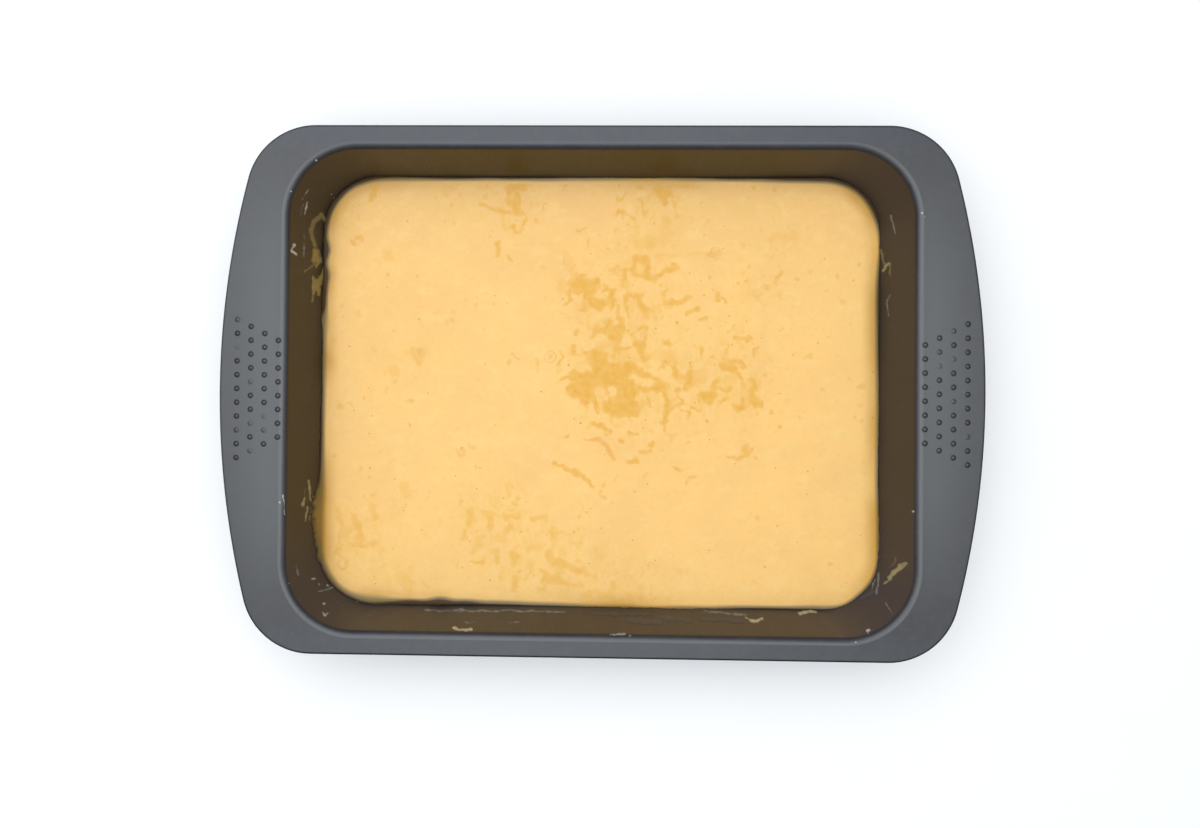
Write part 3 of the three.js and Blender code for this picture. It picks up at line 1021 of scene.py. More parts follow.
# %% Noise and distance fields
FIELD_REACH = 5.0  # pixels, how far round a stroke its distance is worked out
FIELD_FLOOR = 1e-6  # keeps logarithms and divisions away from zero
WEIGHT_LIMIT = 30  # and this one the exponentials from overflowing
LATTICE = 64  # random values to a side
OCTAVE_FADE = 0.55
OCTAVE_SHIFTS = (17.3, 9.1)  # keep the octaves' lattices off each other
FRAY_SIZE = 7  # pixels, the breadth of the waves that fray the strokes
TATTER_SIZE = 4  # and of those that tatter the outline
TATTER_REACH = 3  # pixels to both sides of the outline


def cloud_noise(x, y, size, seed, octaves=3):
    """Smooth noise from about -1 to 1: random values on a lattice, eased between."""
    lattice = np.random.default_rng(seed).uniform(-1, 1, (LATTICE, LATTICE))
    total = np.zeros(np.broadcast(x, y).shape)
    for octave in range(octaves):
        scale = 2.0 ** octave / size
        column, across = np.divmod(x * scale + OCTAVE_SHIFTS[0] * octave, 1)
        row, down = np.divmod(y * scale + OCTAVE_SHIFTS[1] * octave, 1)
        across, down = (t * t * (3 - 2 * t) for t in (across, down))
        column, row = (part.astype(int) % LATTICE for part in (column, row))
        after, below = (column + 1) % LATTICE, (row + 1) % LATTICE
        upper = lattice[row, column] * (1 - across) + lattice[row, after] * across
        lower = lattice[below, column] * (1 - across) + lattice[below, after] * across
        total += (upper * (1 - down) + lower * down) * OCTAVE_FADE ** octave
    return total


def route_distance(u, v, route):
    """Distance from each point to a route of straight stretches, or to a single spot."""
    ends = route if len(route) > 1 else np.vstack((route, route))
    nearest = np.full(u.shape, np.inf)
    for (u0, v0), (u1, v1) in zip(ends[:-1], ends[1:]):
        du, dv = u1 - u0, v1 - v0
        share = np.clip(((u - u0) * du + (v - v0) * dv) / max(du * du + dv * dv, FIELD_FLOOR), 0, 1)
        nearest = np.minimum(nearest, np.hypot(u - u0 - share * du, v - v0 - share * dv))
    return nearest


class MarkGrid:
    """A grid of pixels on which strokes melt into one field."""

    def __init__(self, box, step, fray, seed):
        u0, v0, u1, v1 = box
        self.columns = np.arange(u0, u1 + step, step)
        self.rows = np.arange(v0, v1 + step, step)
        self.u, self.v = np.meshgrid(self.columns, self.rows)
        self.frayed_u = self.u + fray * cloud_noise(self.u, self.v, FRAY_SIZE, seed)
        self.frayed_v = self.v + fray * cloud_noise(self.u, self.v, FRAY_SIZE, seed + 1)
        self.pixels = np.column_stack((self.u.ravel(), self.v.ravel()))

    def window(self, route, reach):
        """The rows and columns within reach of a route."""
        low, high = route.min(axis=0) - reach, route.max(axis=0) + reach
        columns = slice(*np.searchsorted(self.columns, (low[0], high[0])))
        rows = slice(*np.searchsorted(self.rows, (low[1], high[1])))
        return rows, columns

    def field(self, groups, melt):
        """Distance to the strokes' melted outline, and each group's share of the sum."""
        total = np.zeros(self.u.shape)
        shares = {name: np.zeros(self.u.shape) for name in groups}
        for name, strokes in groups.items():
            for radius, *places in strokes:
                route = np.array(places, dtype=float).reshape(-1, 2)
                at = self.window(route, radius + FIELD_REACH)
                distance = route_distance(self.frayed_u[at], self.frayed_v[at], route) - radius
                weight = np.exp(np.clip(-distance / melt, -WEIGHT_LIMIT, WEIGHT_LIMIT))
                total[at] += weight
                shares[name][at] += weight
        outline = np.minimum(-melt * np.log(np.maximum(total, FIELD_FLOOR)), FIELD_REACH)
        return outline, {name: share / np.maximum(total, FIELD_FLOOR) for name, share in shares.items()}

    def marks(self, groups, gaps, melt, spread, tatter, seed):
        """Spread strokes with gaps cut out and a tattered outline, and each group's share."""
        outline, shares = self.field(groups, melt)
        cut, _ = self.field({"gaps": gaps}, melt)
        outline = np.maximum(outline - spread, -cut)
        tatters = tatter * cloud_noise(self.u, self.v, TATTER_SIZE, seed)
        return outline + tatters * np.exp(-(outline / TATTER_REACH) ** 2), shares


print("noise at four points:", np.round(cloud_noise(np.arange(4.0), np.zeros(4), 3, 1), 2))

# %% [markdown]
# ## From a field to a closed film
#
# Grid cells near or inside the outline become the film's faces. Its underside lies a
# little deeper in the same surface, and a narrow wall closes the edge between them.

# %% Film mesh
FILM_MARGIN = 0.55  # pixels kept outside the outline, all of it buried
FILM_UNDERSIDE = 0.25  # mm below the carrying surface
FILM_SKIN = 0.08  # mm, the least between its two sides
BURIAL_SLOPE = 0.08  # how steeply the film dips under beyond its outline


def film_height(field, pixel, thickness, contact):
    """Thickness over the surface in mm, from a distance in pixels (negative inside)."""
    inside = thickness * (1 - np.exp(np.minimum(field, 0) * pixel / contact))
    return inside - np.maximum(field, 0) * pixel * BURIAL_SLOPE


def kept_cells(keep):
    """Corner numbers of each grid cell whose four corners are all kept."""
    rows, columns = keep.shape
    number = np.arange(rows * columns).reshape(rows, columns)
    whole = keep[:-1, :-1] & keep[:-1, 1:] & keep[1:, :-1] & keep[1:, 1:]
    corners = (number[:-1, :-1], number[1:, :-1], number[1:, 1:], number[:-1, 1:])
    return np.column_stack([corner[whole] for corner in corners])


def rim_edges(cells):
    """Edges that belong to one cell only, in the order in which the cell runs."""
    edges = np.vstack([cells[:, [k, (k + 1) % 4]] for k in range(4)])
    low, high = edges.min(axis=1), edges.max(axis=1)
    key = low.astype(np.int64) * (int(high.max()) + 1) + high
    _, first, count = np.unique(key, return_index=True, return_counts=True)
    return edges[first[count == 1]]


def closed_film(name, keep, seats, normals, height, material, numbers):
    """A film over the kept cells. Seats: points in mm of the surface that carries it."""
    cells = kept_cells(keep)
    used, cells = np.unique(cells, return_inverse=True)
    cells = cells.reshape(-1, 4)
    count = len(used)
    risen = height.ravel()[used][:, None]
    top = seats[used] + normals[used] * risen
    bottom = seats[used] + normals[used] * np.minimum(risen - FILM_SKIN, -FILM_UNDERSIDE)
    rim = rim_edges(cells)
    sides = np.column_stack((rim[:, 1], rim[:, 0], rim[:, 0] + count, rim[:, 1] + count))
    faces = np.vstack((cells, cells[:, ::-1] + count, sides))
    carried = {key: np.tile(values.ravel()[used], 2) for key, values in numbers.items()}
    return add_piece(name, np.vstack((top, bottom)), faces, material, carried)


print("film mesh helpers ready")

# %% [markdown]
# ## Marks of the syrup
#
# The syrup has soaked in unevenly. It stands in thin amber pools where the crumb is full,
# mostly right of the middle and towards the near left corner. Each line below is one
# stroke: its radius, then the spots of its route, all in pixels of the photo.

# %% Strokes of syrup
MAIN_POOL = [
    (4, 594, 355, 604, 355), (10, 608, 373, 629, 373), (10, 607, 389, 629, 390),
    (6, 639, 375, 642, 378), (6, 575, 377, 592, 376), (6, 580, 383, 592, 384), (7, 572, 390, 588, 393),
    (2.5, 563, 379, 570, 377), (2.5, 593, 395, 596, 411), (7, 608, 406, 633, 406),
    (5, 612, 412, 634, 413), (3, 637, 404, 637, 415), (6, 596, 358, 603, 360), (7, 598, 368, 604, 372),
    (4, 590, 356, 600, 353), (4, 598, 380, 604, 381), (4, 624, 364, 634, 367), (3, 626, 396, 634, 397),
    (4, 640, 388, 663, 389), (3, 641, 371, 662, 386), (3, 663, 392, 668, 402),
    (3.3, 668, 402, 667, 412), (2.5, 667, 412, 665, 420), (2, 660, 423, 668, 421),
    (1.5, 665, 422, 664, 429), (1.2, 648, 398, 650, 406), (1.5, 668, 411, 676, 407, 682, 402),
    (1, 682, 402, 690, 405, 698, 409), (1.2, 680, 411, 690, 412), (2.5, 690, 413), (1.5, 689, 418),
    (3.5, 593, 423, 605, 428),
]
POOL_HOLES = [
    (5.6, 599, 392), (4.0, 611, 391), (3, 606, 397), (1.2, 599, 402, 601, 410),
    (1.8, 632, 376, 640, 379), (3, 641, 381, 650, 382), (1.6, 566, 385), (2, 603, 296), (3.4, 640, 267),
    (1.4, 738, 402),
]
AROUND_POOL = [
    (2.5, 574, 345, 574, 354), (1.4, 560, 351, 562, 357, 560, 363), (0.9, 615.5, 352, 615, 357),
    (1.5, 620, 350, 632, 347), (6, 641, 347), (4, 636, 343), (2.5, 641, 352, 643, 360),
    (1.2, 646, 352, 647, 358), (1.2, 632, 334, 637, 331, 642, 327, 647, 327),
    (1.2, 647, 327, 647, 333, 645, 341), (1.5, 633, 338, 636, 340), (4.5, 613, 337, 618, 337),
    (2.2, 616, 342, 616, 350), (3.5, 609, 324, 606, 331), (4, 612, 331, 622, 327),
    (3, 621, 320, 622, 330), (2.5, 600, 330, 607, 331), (1.5, 594, 331, 598, 330),
    (1.2, 598, 330, 593, 337), (1.5, 628, 331), (2.2, 576, 333), (1.5, 573, 331, 579, 330),
    (1.5, 580, 322), (1.3, 613, 309), (1.3, 677, 322), (1.3, 619, 305, 619, 318),
    (3, 663, 343, 669, 343), (1.5, 671, 346), (1.5, 667, 339), (2, 472, 562, 484, 561),
    (2.6, 374, 185, 375, 191, 371, 199), (1.4, 352, 240, 354, 245), (1.3, 357, 238, 363, 237),
]
RIGHT_CLUSTER = [
    (1.5, 670, 364, 675, 369), (4, 675, 369, 677, 376), (1.5, 677, 376, 684, 378),
    (4.5, 688, 374, 690, 382), (2, 697, 381), (2, 687, 372), (3.5, 686, 388), (4, 678, 390),
    (1.5, 678, 390, 677, 399), (3, 716, 382, 712, 392), (5, 705, 396, 713, 396), (4, 709, 402),
    (1, 699, 396), (2, 721, 388, 725, 390), (2.5, 731, 388), (1, 727, 386), (1.6, 721, 401, 727, 397),
    (2, 742, 398, 742, 405), (3.5, 737, 408, 742, 407), (2, 734, 405), (3.7, 723, 367, 733, 367),
    (2, 728, 362, 740, 362, 744, 367), (2, 728, 369, 736, 373, 742, 379), (3, 752, 380, 755, 388),
    (4, 750, 392, 754, 398), (4, 755, 402, 761, 403), (1.2, 691, 361), (1.3, 690, 366), (1.3, 699, 402),
    (1.2, 701, 410), (1.8, 708, 421), (2, 765, 376), (1.5, 772, 374), (2, 772, 413), (1.5, 779, 427),
    (1.8, 756, 458.5), (1.4, 690, 443), (2, 712, 358), (1.8, 701, 349, 700, 357),
    (1.2, 729, 456, 736, 458), (2, 738, 459, 746, 453), (2.2, 746, 453, 744, 447),
    (1, 741, 447, 747, 447), (1.5, 746, 452, 753, 451), (2.2, 688, 312, 697, 308),
    (1.8, 700, 320, 706, 319), (2, 717, 295, 717, 302), (2, 721, 299, 725, 303), (1.8, 726, 322),
    (1.6, 733, 324, 734, 328), (2, 736, 338, 751, 338), (1.5, 746, 342), (1.3, 727, 344, 725, 353),
    (1.8, 754, 349, 753, 354), (1, 756, 348, 758, 347), (1.2, 780, 330, 783, 328), (1.3, 675.5, 361),
    (1.6, 669, 387), (1.2, 681, 399), (1.1, 673, 468, 681, 471), (1.2, 690, 478, 695, 477),
    (1.8, 687, 483),
]
UPPER_MIDDLE = [
    (3.5, 577, 279, 577, 292), (3.5, 584, 290, 590, 297), (2.5, 594, 302, 599, 309),
    (2.5, 610, 297, 613, 306), (3, 637, 263, 646, 266), (2.5, 640, 268, 650, 276),
    (2, 640, 300, 646, 310), (5.5, 575, 284, 590, 284), (3, 583, 275), (3, 577, 276),
    (4, 590, 285, 591, 295), (4, 597, 281, 594, 290), (4, 586, 297, 592, 300),
    (4.6, 593, 304, 602, 304), (3, 600, 309), (2.5, 584, 303, 586, 308), (1.5, 580, 311, 588, 311),
    (4, 612, 292, 611, 300), (3, 604, 303, 610, 302), (2, 602, 292, 607, 290), (1, 604, 284, 606, 288),
    (2, 571, 285, 570, 298, 566, 304), (1.5, 611, 270, 617, 266), (1.6, 617, 266, 621, 269, 634, 268),
    (3, 624, 271, 623, 280), (2, 623, 280, 623, 285), (3.2, 636, 258, 647, 259),
    (2, 635, 258, 634, 266), (2.5, 647, 262, 648, 268), (3.2, 636, 274, 642, 276),
    (2, 644, 277, 652, 279), (2.3, 652, 279, 658, 275, 668, 271), (2, 668, 271, 678, 269),
    (2.5, 674, 266), (1.5, 626, 294, 625, 303, 628, 312, 629, 317), (2, 624, 296, 640, 297),
    (2.5, 640, 299, 642, 308, 647, 316), (1.5, 645, 305), (1.2, 649, 311, 654, 312),
    (1.5, 661, 294, 668, 289), (1.5, 663, 296, 667, 302), (3, 667, 302, 671, 303),
    (1.8, 671, 303, 681, 301, 690, 297), (1.5, 661, 285), (1, 588, 240, 588, 246), (1.5, 608, 249),
    (1.3, 579, 231, 586, 228), (0.9, 604, 298),
]
TOP_MARKS = [
    (2.5, 508, 186, 508, 204), (4, 512, 188, 524, 187), (4, 517, 196, 518, 202),
    (3, 514, 204, 517, 214), (1, 528, 184, 532, 184), (1.7, 480, 205, 490, 208, 503, 212, 522, 214),
    (1.3, 518, 206, 523, 214), (1.5, 523, 214, 525, 220, 523, 226, 518, 232), (3, 513, 226),
    (2, 515, 232), (2.5, 498, 243, 498, 255), (2, 509, 256, 511, 259), (1.2, 566, 184, 563, 191),
    (0.9, 543, 203, 543, 210), (1, 536, 218, 536, 223), (1.2, 619, 183, 619, 188),
    (1, 617, 196, 619, 200, 623, 198, 625, 193), (1.2, 616, 216, 619, 211, 623, 210),
    (1.2, 623, 210, 623, 217), (1.2, 628, 213, 634, 220), (1, 637, 197, 640, 200, 642, 210),
    (1.2, 643, 212, 645, 216, 648, 208), (4.2, 657, 189, 664, 203), (4, 660, 190, 668, 195),
    (1.8, 669, 188, 675, 208), (1, 664, 187, 697, 187), (2.5, 641, 188), (2, 749, 266), (1.8, 746, 280),
    (1.6, 738, 283), (1.8, 709, 278), (1.2, 713, 290), (1.8, 797, 279.5), (1.6, 781, 271, 775, 283),
    (2.2, 754, 188), (2.4, 774, 190), (1.6, 708, 254, 714, 258),
]
LOWER_MIDDLE = [
    (2.2, 555, 464, 576, 473), (2, 576, 473, 583, 478), (1.8, 583, 478, 593, 487), (2, 605, 485),
    (1.3, 601, 491), (1.5, 600, 495, 606, 498), (1.5, 611, 503), (3.5, 622, 441),
    (1.5, 630, 433, 636, 434), (3.3, 629, 461, 637, 461), (2, 641, 452, 650, 451),
    (1.3, 648, 446, 655, 442), (2, 607, 435), (2, 567, 437), (1.5, 667, 495.5), (1.2, 677, 492),
]
NEAR_LEFT = [
    (3.5, 470, 511, 470, 523), (3.2, 484, 513, 490, 516), (3.8, 490, 516, 491, 526),
    (2.3, 503, 513, 507, 517), (2.3, 507, 517, 518, 517), (2, 519, 514), (5, 509, 530),
    (2, 531, 519, 545, 518), (2.5, 552, 528, 553, 538), (1.5, 553, 533, 561, 531),
    (3, 464, 531, 464, 538), (2, 518, 498), (2.5, 516, 504), (2.5, 497, 551, 496, 561),
    (3, 513, 553, 514, 562), (4, 517, 556), (5, 549, 557, 556, 562), (3.8, 556, 562, 565, 566),
    (3.5, 565, 566, 588, 574), (3, 542, 571, 547, 575), (4, 545, 580, 555, 580),
    (3.5, 555, 580, 566, 584), (1.2, 566, 584, 574, 585), (3, 580, 585), (2.2, 519, 573),
    (3.5, 516, 580, 514, 587), (2, 501, 577), (1, 477, 531), (1.7, 461.5, 502), (1.5, 579, 516),
    (1.2, 578, 529), (1.5, 574, 532), (1.8, 596, 552), (1.5, 765, 567), (2.5, 830, 564),
    (3.6, 353, 517, 358, 525), (4.5, 358, 525, 360, 540), (3, 353, 546, 372, 545),
    (1.2, 370, 541, 379, 541), (3.5, 374, 507, 375, 517), (2, 338, 507, 341, 525, 338, 553),
    (1.3, 340, 555, 346, 560, 345, 570, 340, 571), (1.5, 419, 483), (1.5, 405, 506), (1.5, 372, 494),
    (1.5, 361, 468), (1, 369, 478), (1.8, 334, 456), (1.5, 476, 468),
]
LEFT_MARKS = [
    (1.6, 456, 450, 459, 455, 465, 455), (1.3, 468, 444, 472, 448), (3.6, 340, 407),
    (1.6, 347, 403, 351, 405), (2.5, 410, 400), (2.2, 413, 349, 413, 357, 419, 361), (1.8, 342, 306),
    (1.2, 419, 319), (1.5, 452, 321), (1.3, 364, 399), (1.2, 410, 425), (1.5, 418, 276),
    (1.3, 356, 280), (1.5, 452, 205), (2.2, 509, 363), (0.8, 512, 354, 518, 359),
    (0.9, 537, 358, 537, 372),
]
RIGHT_MARKS = [
    (2.5, 810, 356), (1.2, 804, 357), (1.5, 796, 352), (1.3, 850, 323), (1.2, 818, 343),
    (1.8, 849, 379), (1.5, 822, 389), (1.8, 854, 418), (1.5, 862, 421), (1.8, 799, 418),
    (1.6, 859, 265), (1.9, 837, 277), (1.8, 827, 291), (2, 843, 302), (3.4, 861, 386),
]
FAINT_MARKS = [
    (1.7, 579, 363, 587, 361), (2, 633, 355, 636, 362), (1, 611, 305, 610, 315), (2, 715, 441),
    (2, 707, 449), (1, 681, 471, 692, 473), (2, 720, 342, 727, 341), (2, 615, 424, 625, 424),
    (4, 566, 254, 569, 268), (3.5, 649, 236, 650, 248), (4, 641, 245, 650, 243),
    (2.5, 655, 240, 672, 241), (4.6, 665, 220, 666, 235), (2, 673, 233), (2, 674, 247),
    (1.6, 655, 257, 706, 253), (2.5, 528, 531), (3, 508, 484, 510, 495), (2.5, 532, 546, 545, 545),
    (2, 536, 588), (3, 572, 544, 580, 543), (6, 402, 578, 410, 587), (5, 403, 487, 408, 495),
    (2.5, 429, 491), (3, 357, 314), (3, 374, 350), (2.2, 437, 313), (2, 453, 311), (2.5, 447, 323),
    (2.5, 465, 301), (2, 476, 304), (6, 388, 255), (6, 448, 190), (6, 394, 370), (3, 860, 404),
    (3.4, 770, 238, 779, 235), (4.2, 786, 237, 794, 236), (3, 755, 582), (3, 680, 572), (2.5, 766, 287),
    (1.6, 752, 293, 757, 298, 762, 293), (2.5, 600, 592, 604, 600), (2, 613, 591, 613, 601),
    (3, 627, 593, 640, 597), (2, 652, 592, 656, 600), (4, 560, 283, 562, 290), (5, 625, 285),
    (5, 657, 310), (6, 655, 355, 672, 358), (5, 600, 346, 604, 346), (7, 700, 375), (6, 730, 380),
    (4, 560, 370), (5, 480, 545), (5, 530, 565), (5, 500, 538), (4, 345, 530),
]
ORANGE_MARKS = [
    (3, 587, 353), (3, 594, 362), (5, 586, 402), (3, 584, 404), (2.6, 610, 431), (2.5, 662, 366),
    (3, 665, 362), (1.5, 668, 360), (1.1, 585, 440, 599, 440), (2, 599, 440, 607, 447),
    (1.8, 607, 447, 612, 459), (1.6, 711, 252), (2, 375, 190, 372, 199), (1.4, 360, 239, 363, 238),
    (2, 353, 243), (1.8, 362, 242), (1.8, 508, 190, 510, 196), (1.6, 659, 192, 662, 199),
    (1.8, 752, 402, 760, 404), (1.6, 726, 367, 734, 368), (1.6, 684, 376, 690, 380),
    (1.4, 706, 397, 712, 399), (1.3, 738, 406), (1.2, 676, 391),
]
GREY_BUBBLES = [
    (4.2, 421, 352), (2.4, 509, 363), (3.2, 333, 341), (3.6, 716, 253), (3.0, 766, 287),
    (2.6, 462, 449), (3.2, 861, 386), (3.2, 757, 518), (2.8, 550, 357), (2.0, 340, 407),
    (1.8, 810, 356), (1.8, 410, 400), (1.6, 757, 293), (2.0, 388, 275), (1.5, 453, 311),
    (1.5, 476, 304), (1.4, 374, 350), (1.6, 830, 564),
]
SYRUP = {
    "deep": MAIN_POOL + UPPER_MIDDLE,
    "clear": AROUND_POOL + RIGHT_CLUSTER + TOP_MARKS + LOWER_MIDDLE,
    "thin": NEAR_LEFT + LEFT_MARKS + RIGHT_MARKS,
    "faint": FAINT_MARKS,
    "orange": ORANGE_MARKS,
    "bubble": GREY_BUBBLES,
}
print("strokes of syrup:", sum(len(strokes) for strokes in SYRUP.values()))

# %% [markdown]
# ## Pools of syrup
#
# Syrup over crumb is clear, so what the eye sees is the crumb, darkened more where the
# film is deeper. A transparent film would show that too, but slowly and with grain. This
# one is opaque and mixes the crumb's own colour into amber by its depth, so it fades out
# at a thin edge. It is glossier than crumb, which has pores.

# %% Syrup
SYRUP_BOX = (322, 178, 880, 606)
SYRUP_STEP = 0.90  # pixels
SYRUP_THICKNESS = 0.045  # mm for a stroke of strength 1
SYRUP_LEAST = 0.3  # added to every stroke's strength for its thickness
SYRUP_CONTACT = 0.8  # mm over which the film thins out to its edge
SYRUP_FRAY = 1.6  # pixels
SYRUP_SPREAD = 0.9  # pixels that every stroke has spread since
SYRUP_FADE = 1.5  # pixels over which the colour comes up from the outline
SYRUP_EDGE = 2.8  # mm kept free along the sponge's rounded edge
SYRUP_TATTER = 1.1  # pixels
SYRUP_MELT = 0.8  # pixels over which neighbouring strokes run together
SYRUP_STRENGTH = {
    "deep": 1.0, "clear": 0.95, "thin": 0.62, "faint": 0.30, "orange": 0.90, "bubble": 0.5, "stray": 0.45,
}
AMBER = (0.680, 0.345, 0.028)
ORANGE_AMBER = (0.690, 0.300, 0.040)
BUBBLE_GREY = (0.560, 0.310, 0.070)
STRAYS_PER_SPOT = 16  # on a spot of strength 1 and of this radius in pixels
SPOT_RADIUS = 30
STRAY_SCATTER = 0.62  # share of the spot's radius
STRAY_TURN = 0.7
STRAY_LENGTH = 7  # pixels at most
STRAY_RADII = (0.7, 1.7)


def syrup_material():
    finish = new_finish("amber_syrup")
    depth = finish.attribute("depth")
    orange = finish.attribute("orange")
    streak = finish.noise(3.2, detail=4, roughness=0.6).within(0.30, 0.68)
    amber = finish.mix(orange * 0.7, AMBER, ORANGE_AMBER)
    amber = finish.mix(finish.attribute("grey"), amber, BUBBLE_GREY)
    share = depth * (0.60 + streak * 0.45)
    ripple = finish.noise(4.5, detail=2)
    shader = finish.node("ShaderNodeBsdfPrincipled", sockets={
        "Base Color": finish.mix(share, brim_colour(finish), amber),
        "Roughness": 0.24 + streak * 0.10, "Normal": finish.bump(ripple, 0.04),
        "IOR": 1.40, "Specular IOR Level": 0.4,
    })
    return finish.surface(shader)


def stray_strokes():
    """Short seeded strokes round the fullest spots, too many and too small to name."""
    chance = np.random.default_rng(5)
    strokes = []
    for u, v, radius, strength in SOAKED_SPOTS:
        for _ in range(round(STRAYS_PER_SPOT * strength * radius / SPOT_RADIUS)):
            start = np.array((u, v)) + chance.normal(0, radius * STRAY_SCATTER, 2)
            turn = chance.normal(QUARTER, STRAY_TURN)
            length = chance.uniform(0, STRAY_LENGTH)
            end = start + length * np.array((math.cos(turn), math.sin(turn)))
            strokes.append((chance.uniform(*STRAY_RADII), *start, *end))
    return strokes


def build_syrup():
    grid = MarkGrid(SYRUP_BOX, SYRUP_STEP, SYRUP_FRAY, seed=11)
    groups = {**SYRUP, "stray": stray_strokes()}
    field, shares = grid.marks(groups, POOL_HOLES, SYRUP_MELT, SYRUP_SPREAD, SYRUP_TATTER, seed=21)
    seats = on_level(grid.pixels, SPONGE_LEVEL)
    seats[:, 2] = sponge_top(seats[:, 0], seats[:, 1])
    inside = edge_distance(seats[:, 0], seats[:, 1]).reshape(field.shape) > SYRUP_EDGE
    strength = sum(shares[name] * SYRUP_STRENGTH[name] for name in groups)
    thickness = SYRUP_THICKNESS * (SYRUP_LEAST + strength)
    height = film_height(field, PIXEL_ON_SPONGE, thickness, SYRUP_CONTACT)
    depth = strength * (1 - np.exp(np.minimum(field, 0) / SYRUP_FADE))
    numbers = {"depth": depth, "orange": shares["orange"], "grey": shares["bubble"]}
    numbers |= sponge_numbers(seats[:, 0], seats[:, 1])
    normals = np.tile((0.0, 0.0, 1.0), (len(seats), 1))
    keep = (field < FILM_MARGIN) & inside
    return closed_film("syrup_pools", keep, seats, normals, height, syrup_material(), numbers)


syrup = build_syrup()
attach(syrup, "root")
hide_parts("soaked_sponge")
print("syrup:", len(syrup.data.polygons), "faces")

# %% [markdown]
# ## Pores and bubbles
#
# Air rose while the batter stood, and each bubble left a pore: a small pit with a soft
# lip, dark because syrup stands in it. A few larger bubbles left a ring with a crescent
# of syrup at one side. Pits can't be cut into the sponge's mesh without a far finer one,
# so each pore is a tiny turned dish, sunk until only its lip and its dark middle show.

# %% Pores and bubbles
PORES = [  # pixels of the photo: place and radius
    (675.5, 361, 1.2), (669, 387, 1.7), (681, 399, 1.2), (568.5, 365, 1.3), (580.5, 423, 1.3),
    (677, 322, 1.3), (690, 363, 1.2), (756, 458.5, 1.6), (578, 529, 1.2), (574, 532, 1.4),
    (477, 531, 1.2), (461.5, 502, 1.5), (765, 567, 1.4), (754, 188, 1.6), (774, 190, 1.9),
    (797, 279.5, 1.4), (818, 343, 1.3), (862, 421, 1.4), (859, 265, 1.5), (822, 389, 1.4),
    (779, 427, 1.3), (772, 413, 1.5), (334, 456, 1.5), (364, 399, 1.2), (410, 425, 1.2),
    (418, 276, 1.4), (419, 319, 1.2), (452, 205, 1.4), (579, 516, 1.4), (699, 402, 1.2),
    (713, 290, 1.2), (628, 331, 1.4), (661, 285, 1.3), (608, 249, 1.4), (701, 410, 1.2),
    (370, 468, 1.3), (462, 449, 2.4), (509, 363, 2.2), (512, 354, 1.0), (518, 359, 1.0),
    (766, 287, 2.0), (340, 407, 1.4), (861, 386, 2.0), (757, 518, 2.0), (333, 341, 1.8),
    (810, 356, 1.3), (410, 400, 1.3), (453, 311, 1.1), (476, 304, 1.1), (374, 350, 1.1),
    (388, 275, 1.2), (830, 564, 1.2), (873, 372, 1.2), (873, 418, 1.2),
]
BUBBLE_RINGS = [  # place, radius, and the side of the crescent in degrees from the right
    (550, 357, 6.5, 0), (716, 253, 6.5, 170), (420, 353, 6.0, 215), (757, 293, 4.6, 200),
    (343, 563, 6.0, 270), (568, 261, 5.5, 180),
]
PORE_SEED = 100  # the first of the seeds of the pores' outlines, one for each pore
RING_SEED = 300
STRAY_PORES = 150
STRAY_PORE_RADII = (0.55, 1.05)  # pixels
PORE_FIELD_INSET = 8  # mm from the wall
PORE_BORDER = 5  # mm kept free along the sponge's edge
DRY_CHANCE = 0.35  # the chance of a pore where there is no soaked spot
PORE_WAVER = 0.16  # how far from round, as a share of the radius
RING_WAVER = 0.10
WAVER_CIRCLE = (4, 40, 3)  # in the noise: the circle's radius and middle, and the noise's size
CRESCENT_LEAST = 0.35  # how full of syrup a ring is at the far side of its crescent
CRESCENT_FOCUS = 2  # the higher, the shorter the crescent
PORE_SEGMENTS = 16
RING_SEGMENTS = 48
PORE_DISH = (  # share of the radius, height in mm, how deep in syrup
    (0.15, 0.006, 1), (0.45, 0.010, 0.9), (0.68, 0.022, 0.5), (0.85, 0.026, 0.15), (1, -0.015, 0),
    (1.02, -0.3, 0),
)
RING_BAND = (
    (0.70, -0.3, 0), (0.72, -0.015, 0.1), (0.82, 0.028, 0.9), (0.91, 0.028, 0.9), (1, -0.015, 0.1),
    (1.02, -0.3, 0),
)
PORE_BROWN = (0.460, 0.225, 0.034)
RING_BROWN = (0.640, 0.350, 0.070)


def dish_material(name, brown):
    finish = new_finish(name)
    grain = finish.noise(0.8, detail=2)
    shader = finish.node("ShaderNodeBsdfPrincipled", sockets={
        "Base Color": finish.mix(finish.attribute("deep") * (0.7 + grain * 0.5), brim_colour(finish), brown),
        "Roughness": 0.32 + grain * 0.12, "IOR": 1.36, "Specular IOR Level": 0.5,
    })
    return finish.surface(shader)


def pore_places():
    """Named pores, then seeded ones, thicker round the soaked spots."""
    chance = np.random.default_rng(9)
    named = [(*on_level(place, SPONGE_LEVEL)[0, :2], radius) for *place, radius in PORES]
    half_length, half_width, _ = wall_size(-PORE_FIELD_INSET, SPONGE_LEVEL)
    strays = []
    while len(strays) < STRAY_PORES:
        x, y = chance.uniform(-half_length, half_length), chance.uniform(-half_width, half_width)
        if edge_distance(x, y) > PORE_BORDER and chance.random() < DRY_CHANCE + soak_at(x, y):
            strays.append((x, y, chance.uniform(*STRAY_PORE_RADII)))
    return named + strays


def uneven_loops(profile, x, y, radius, angles, unevenness, seed):
    """Loops of a turned profile on the sponge, with an outline that isn't quite round."""
    turn, middle, size = WAVER_CIRCLE
    noise = cloud_noise(turn * np.cos(angles) + middle, turn * np.sin(angles) + middle, size, seed)
    sizes = [(radius * PIXEL_ON_SPONGE * share, height) for share, height, _ in profile]
    place = (x, y, float(sponge_top(x, y)))
    return [loop + place for loop in turned_loops(sizes, angles, 1 + unevenness * noise)]


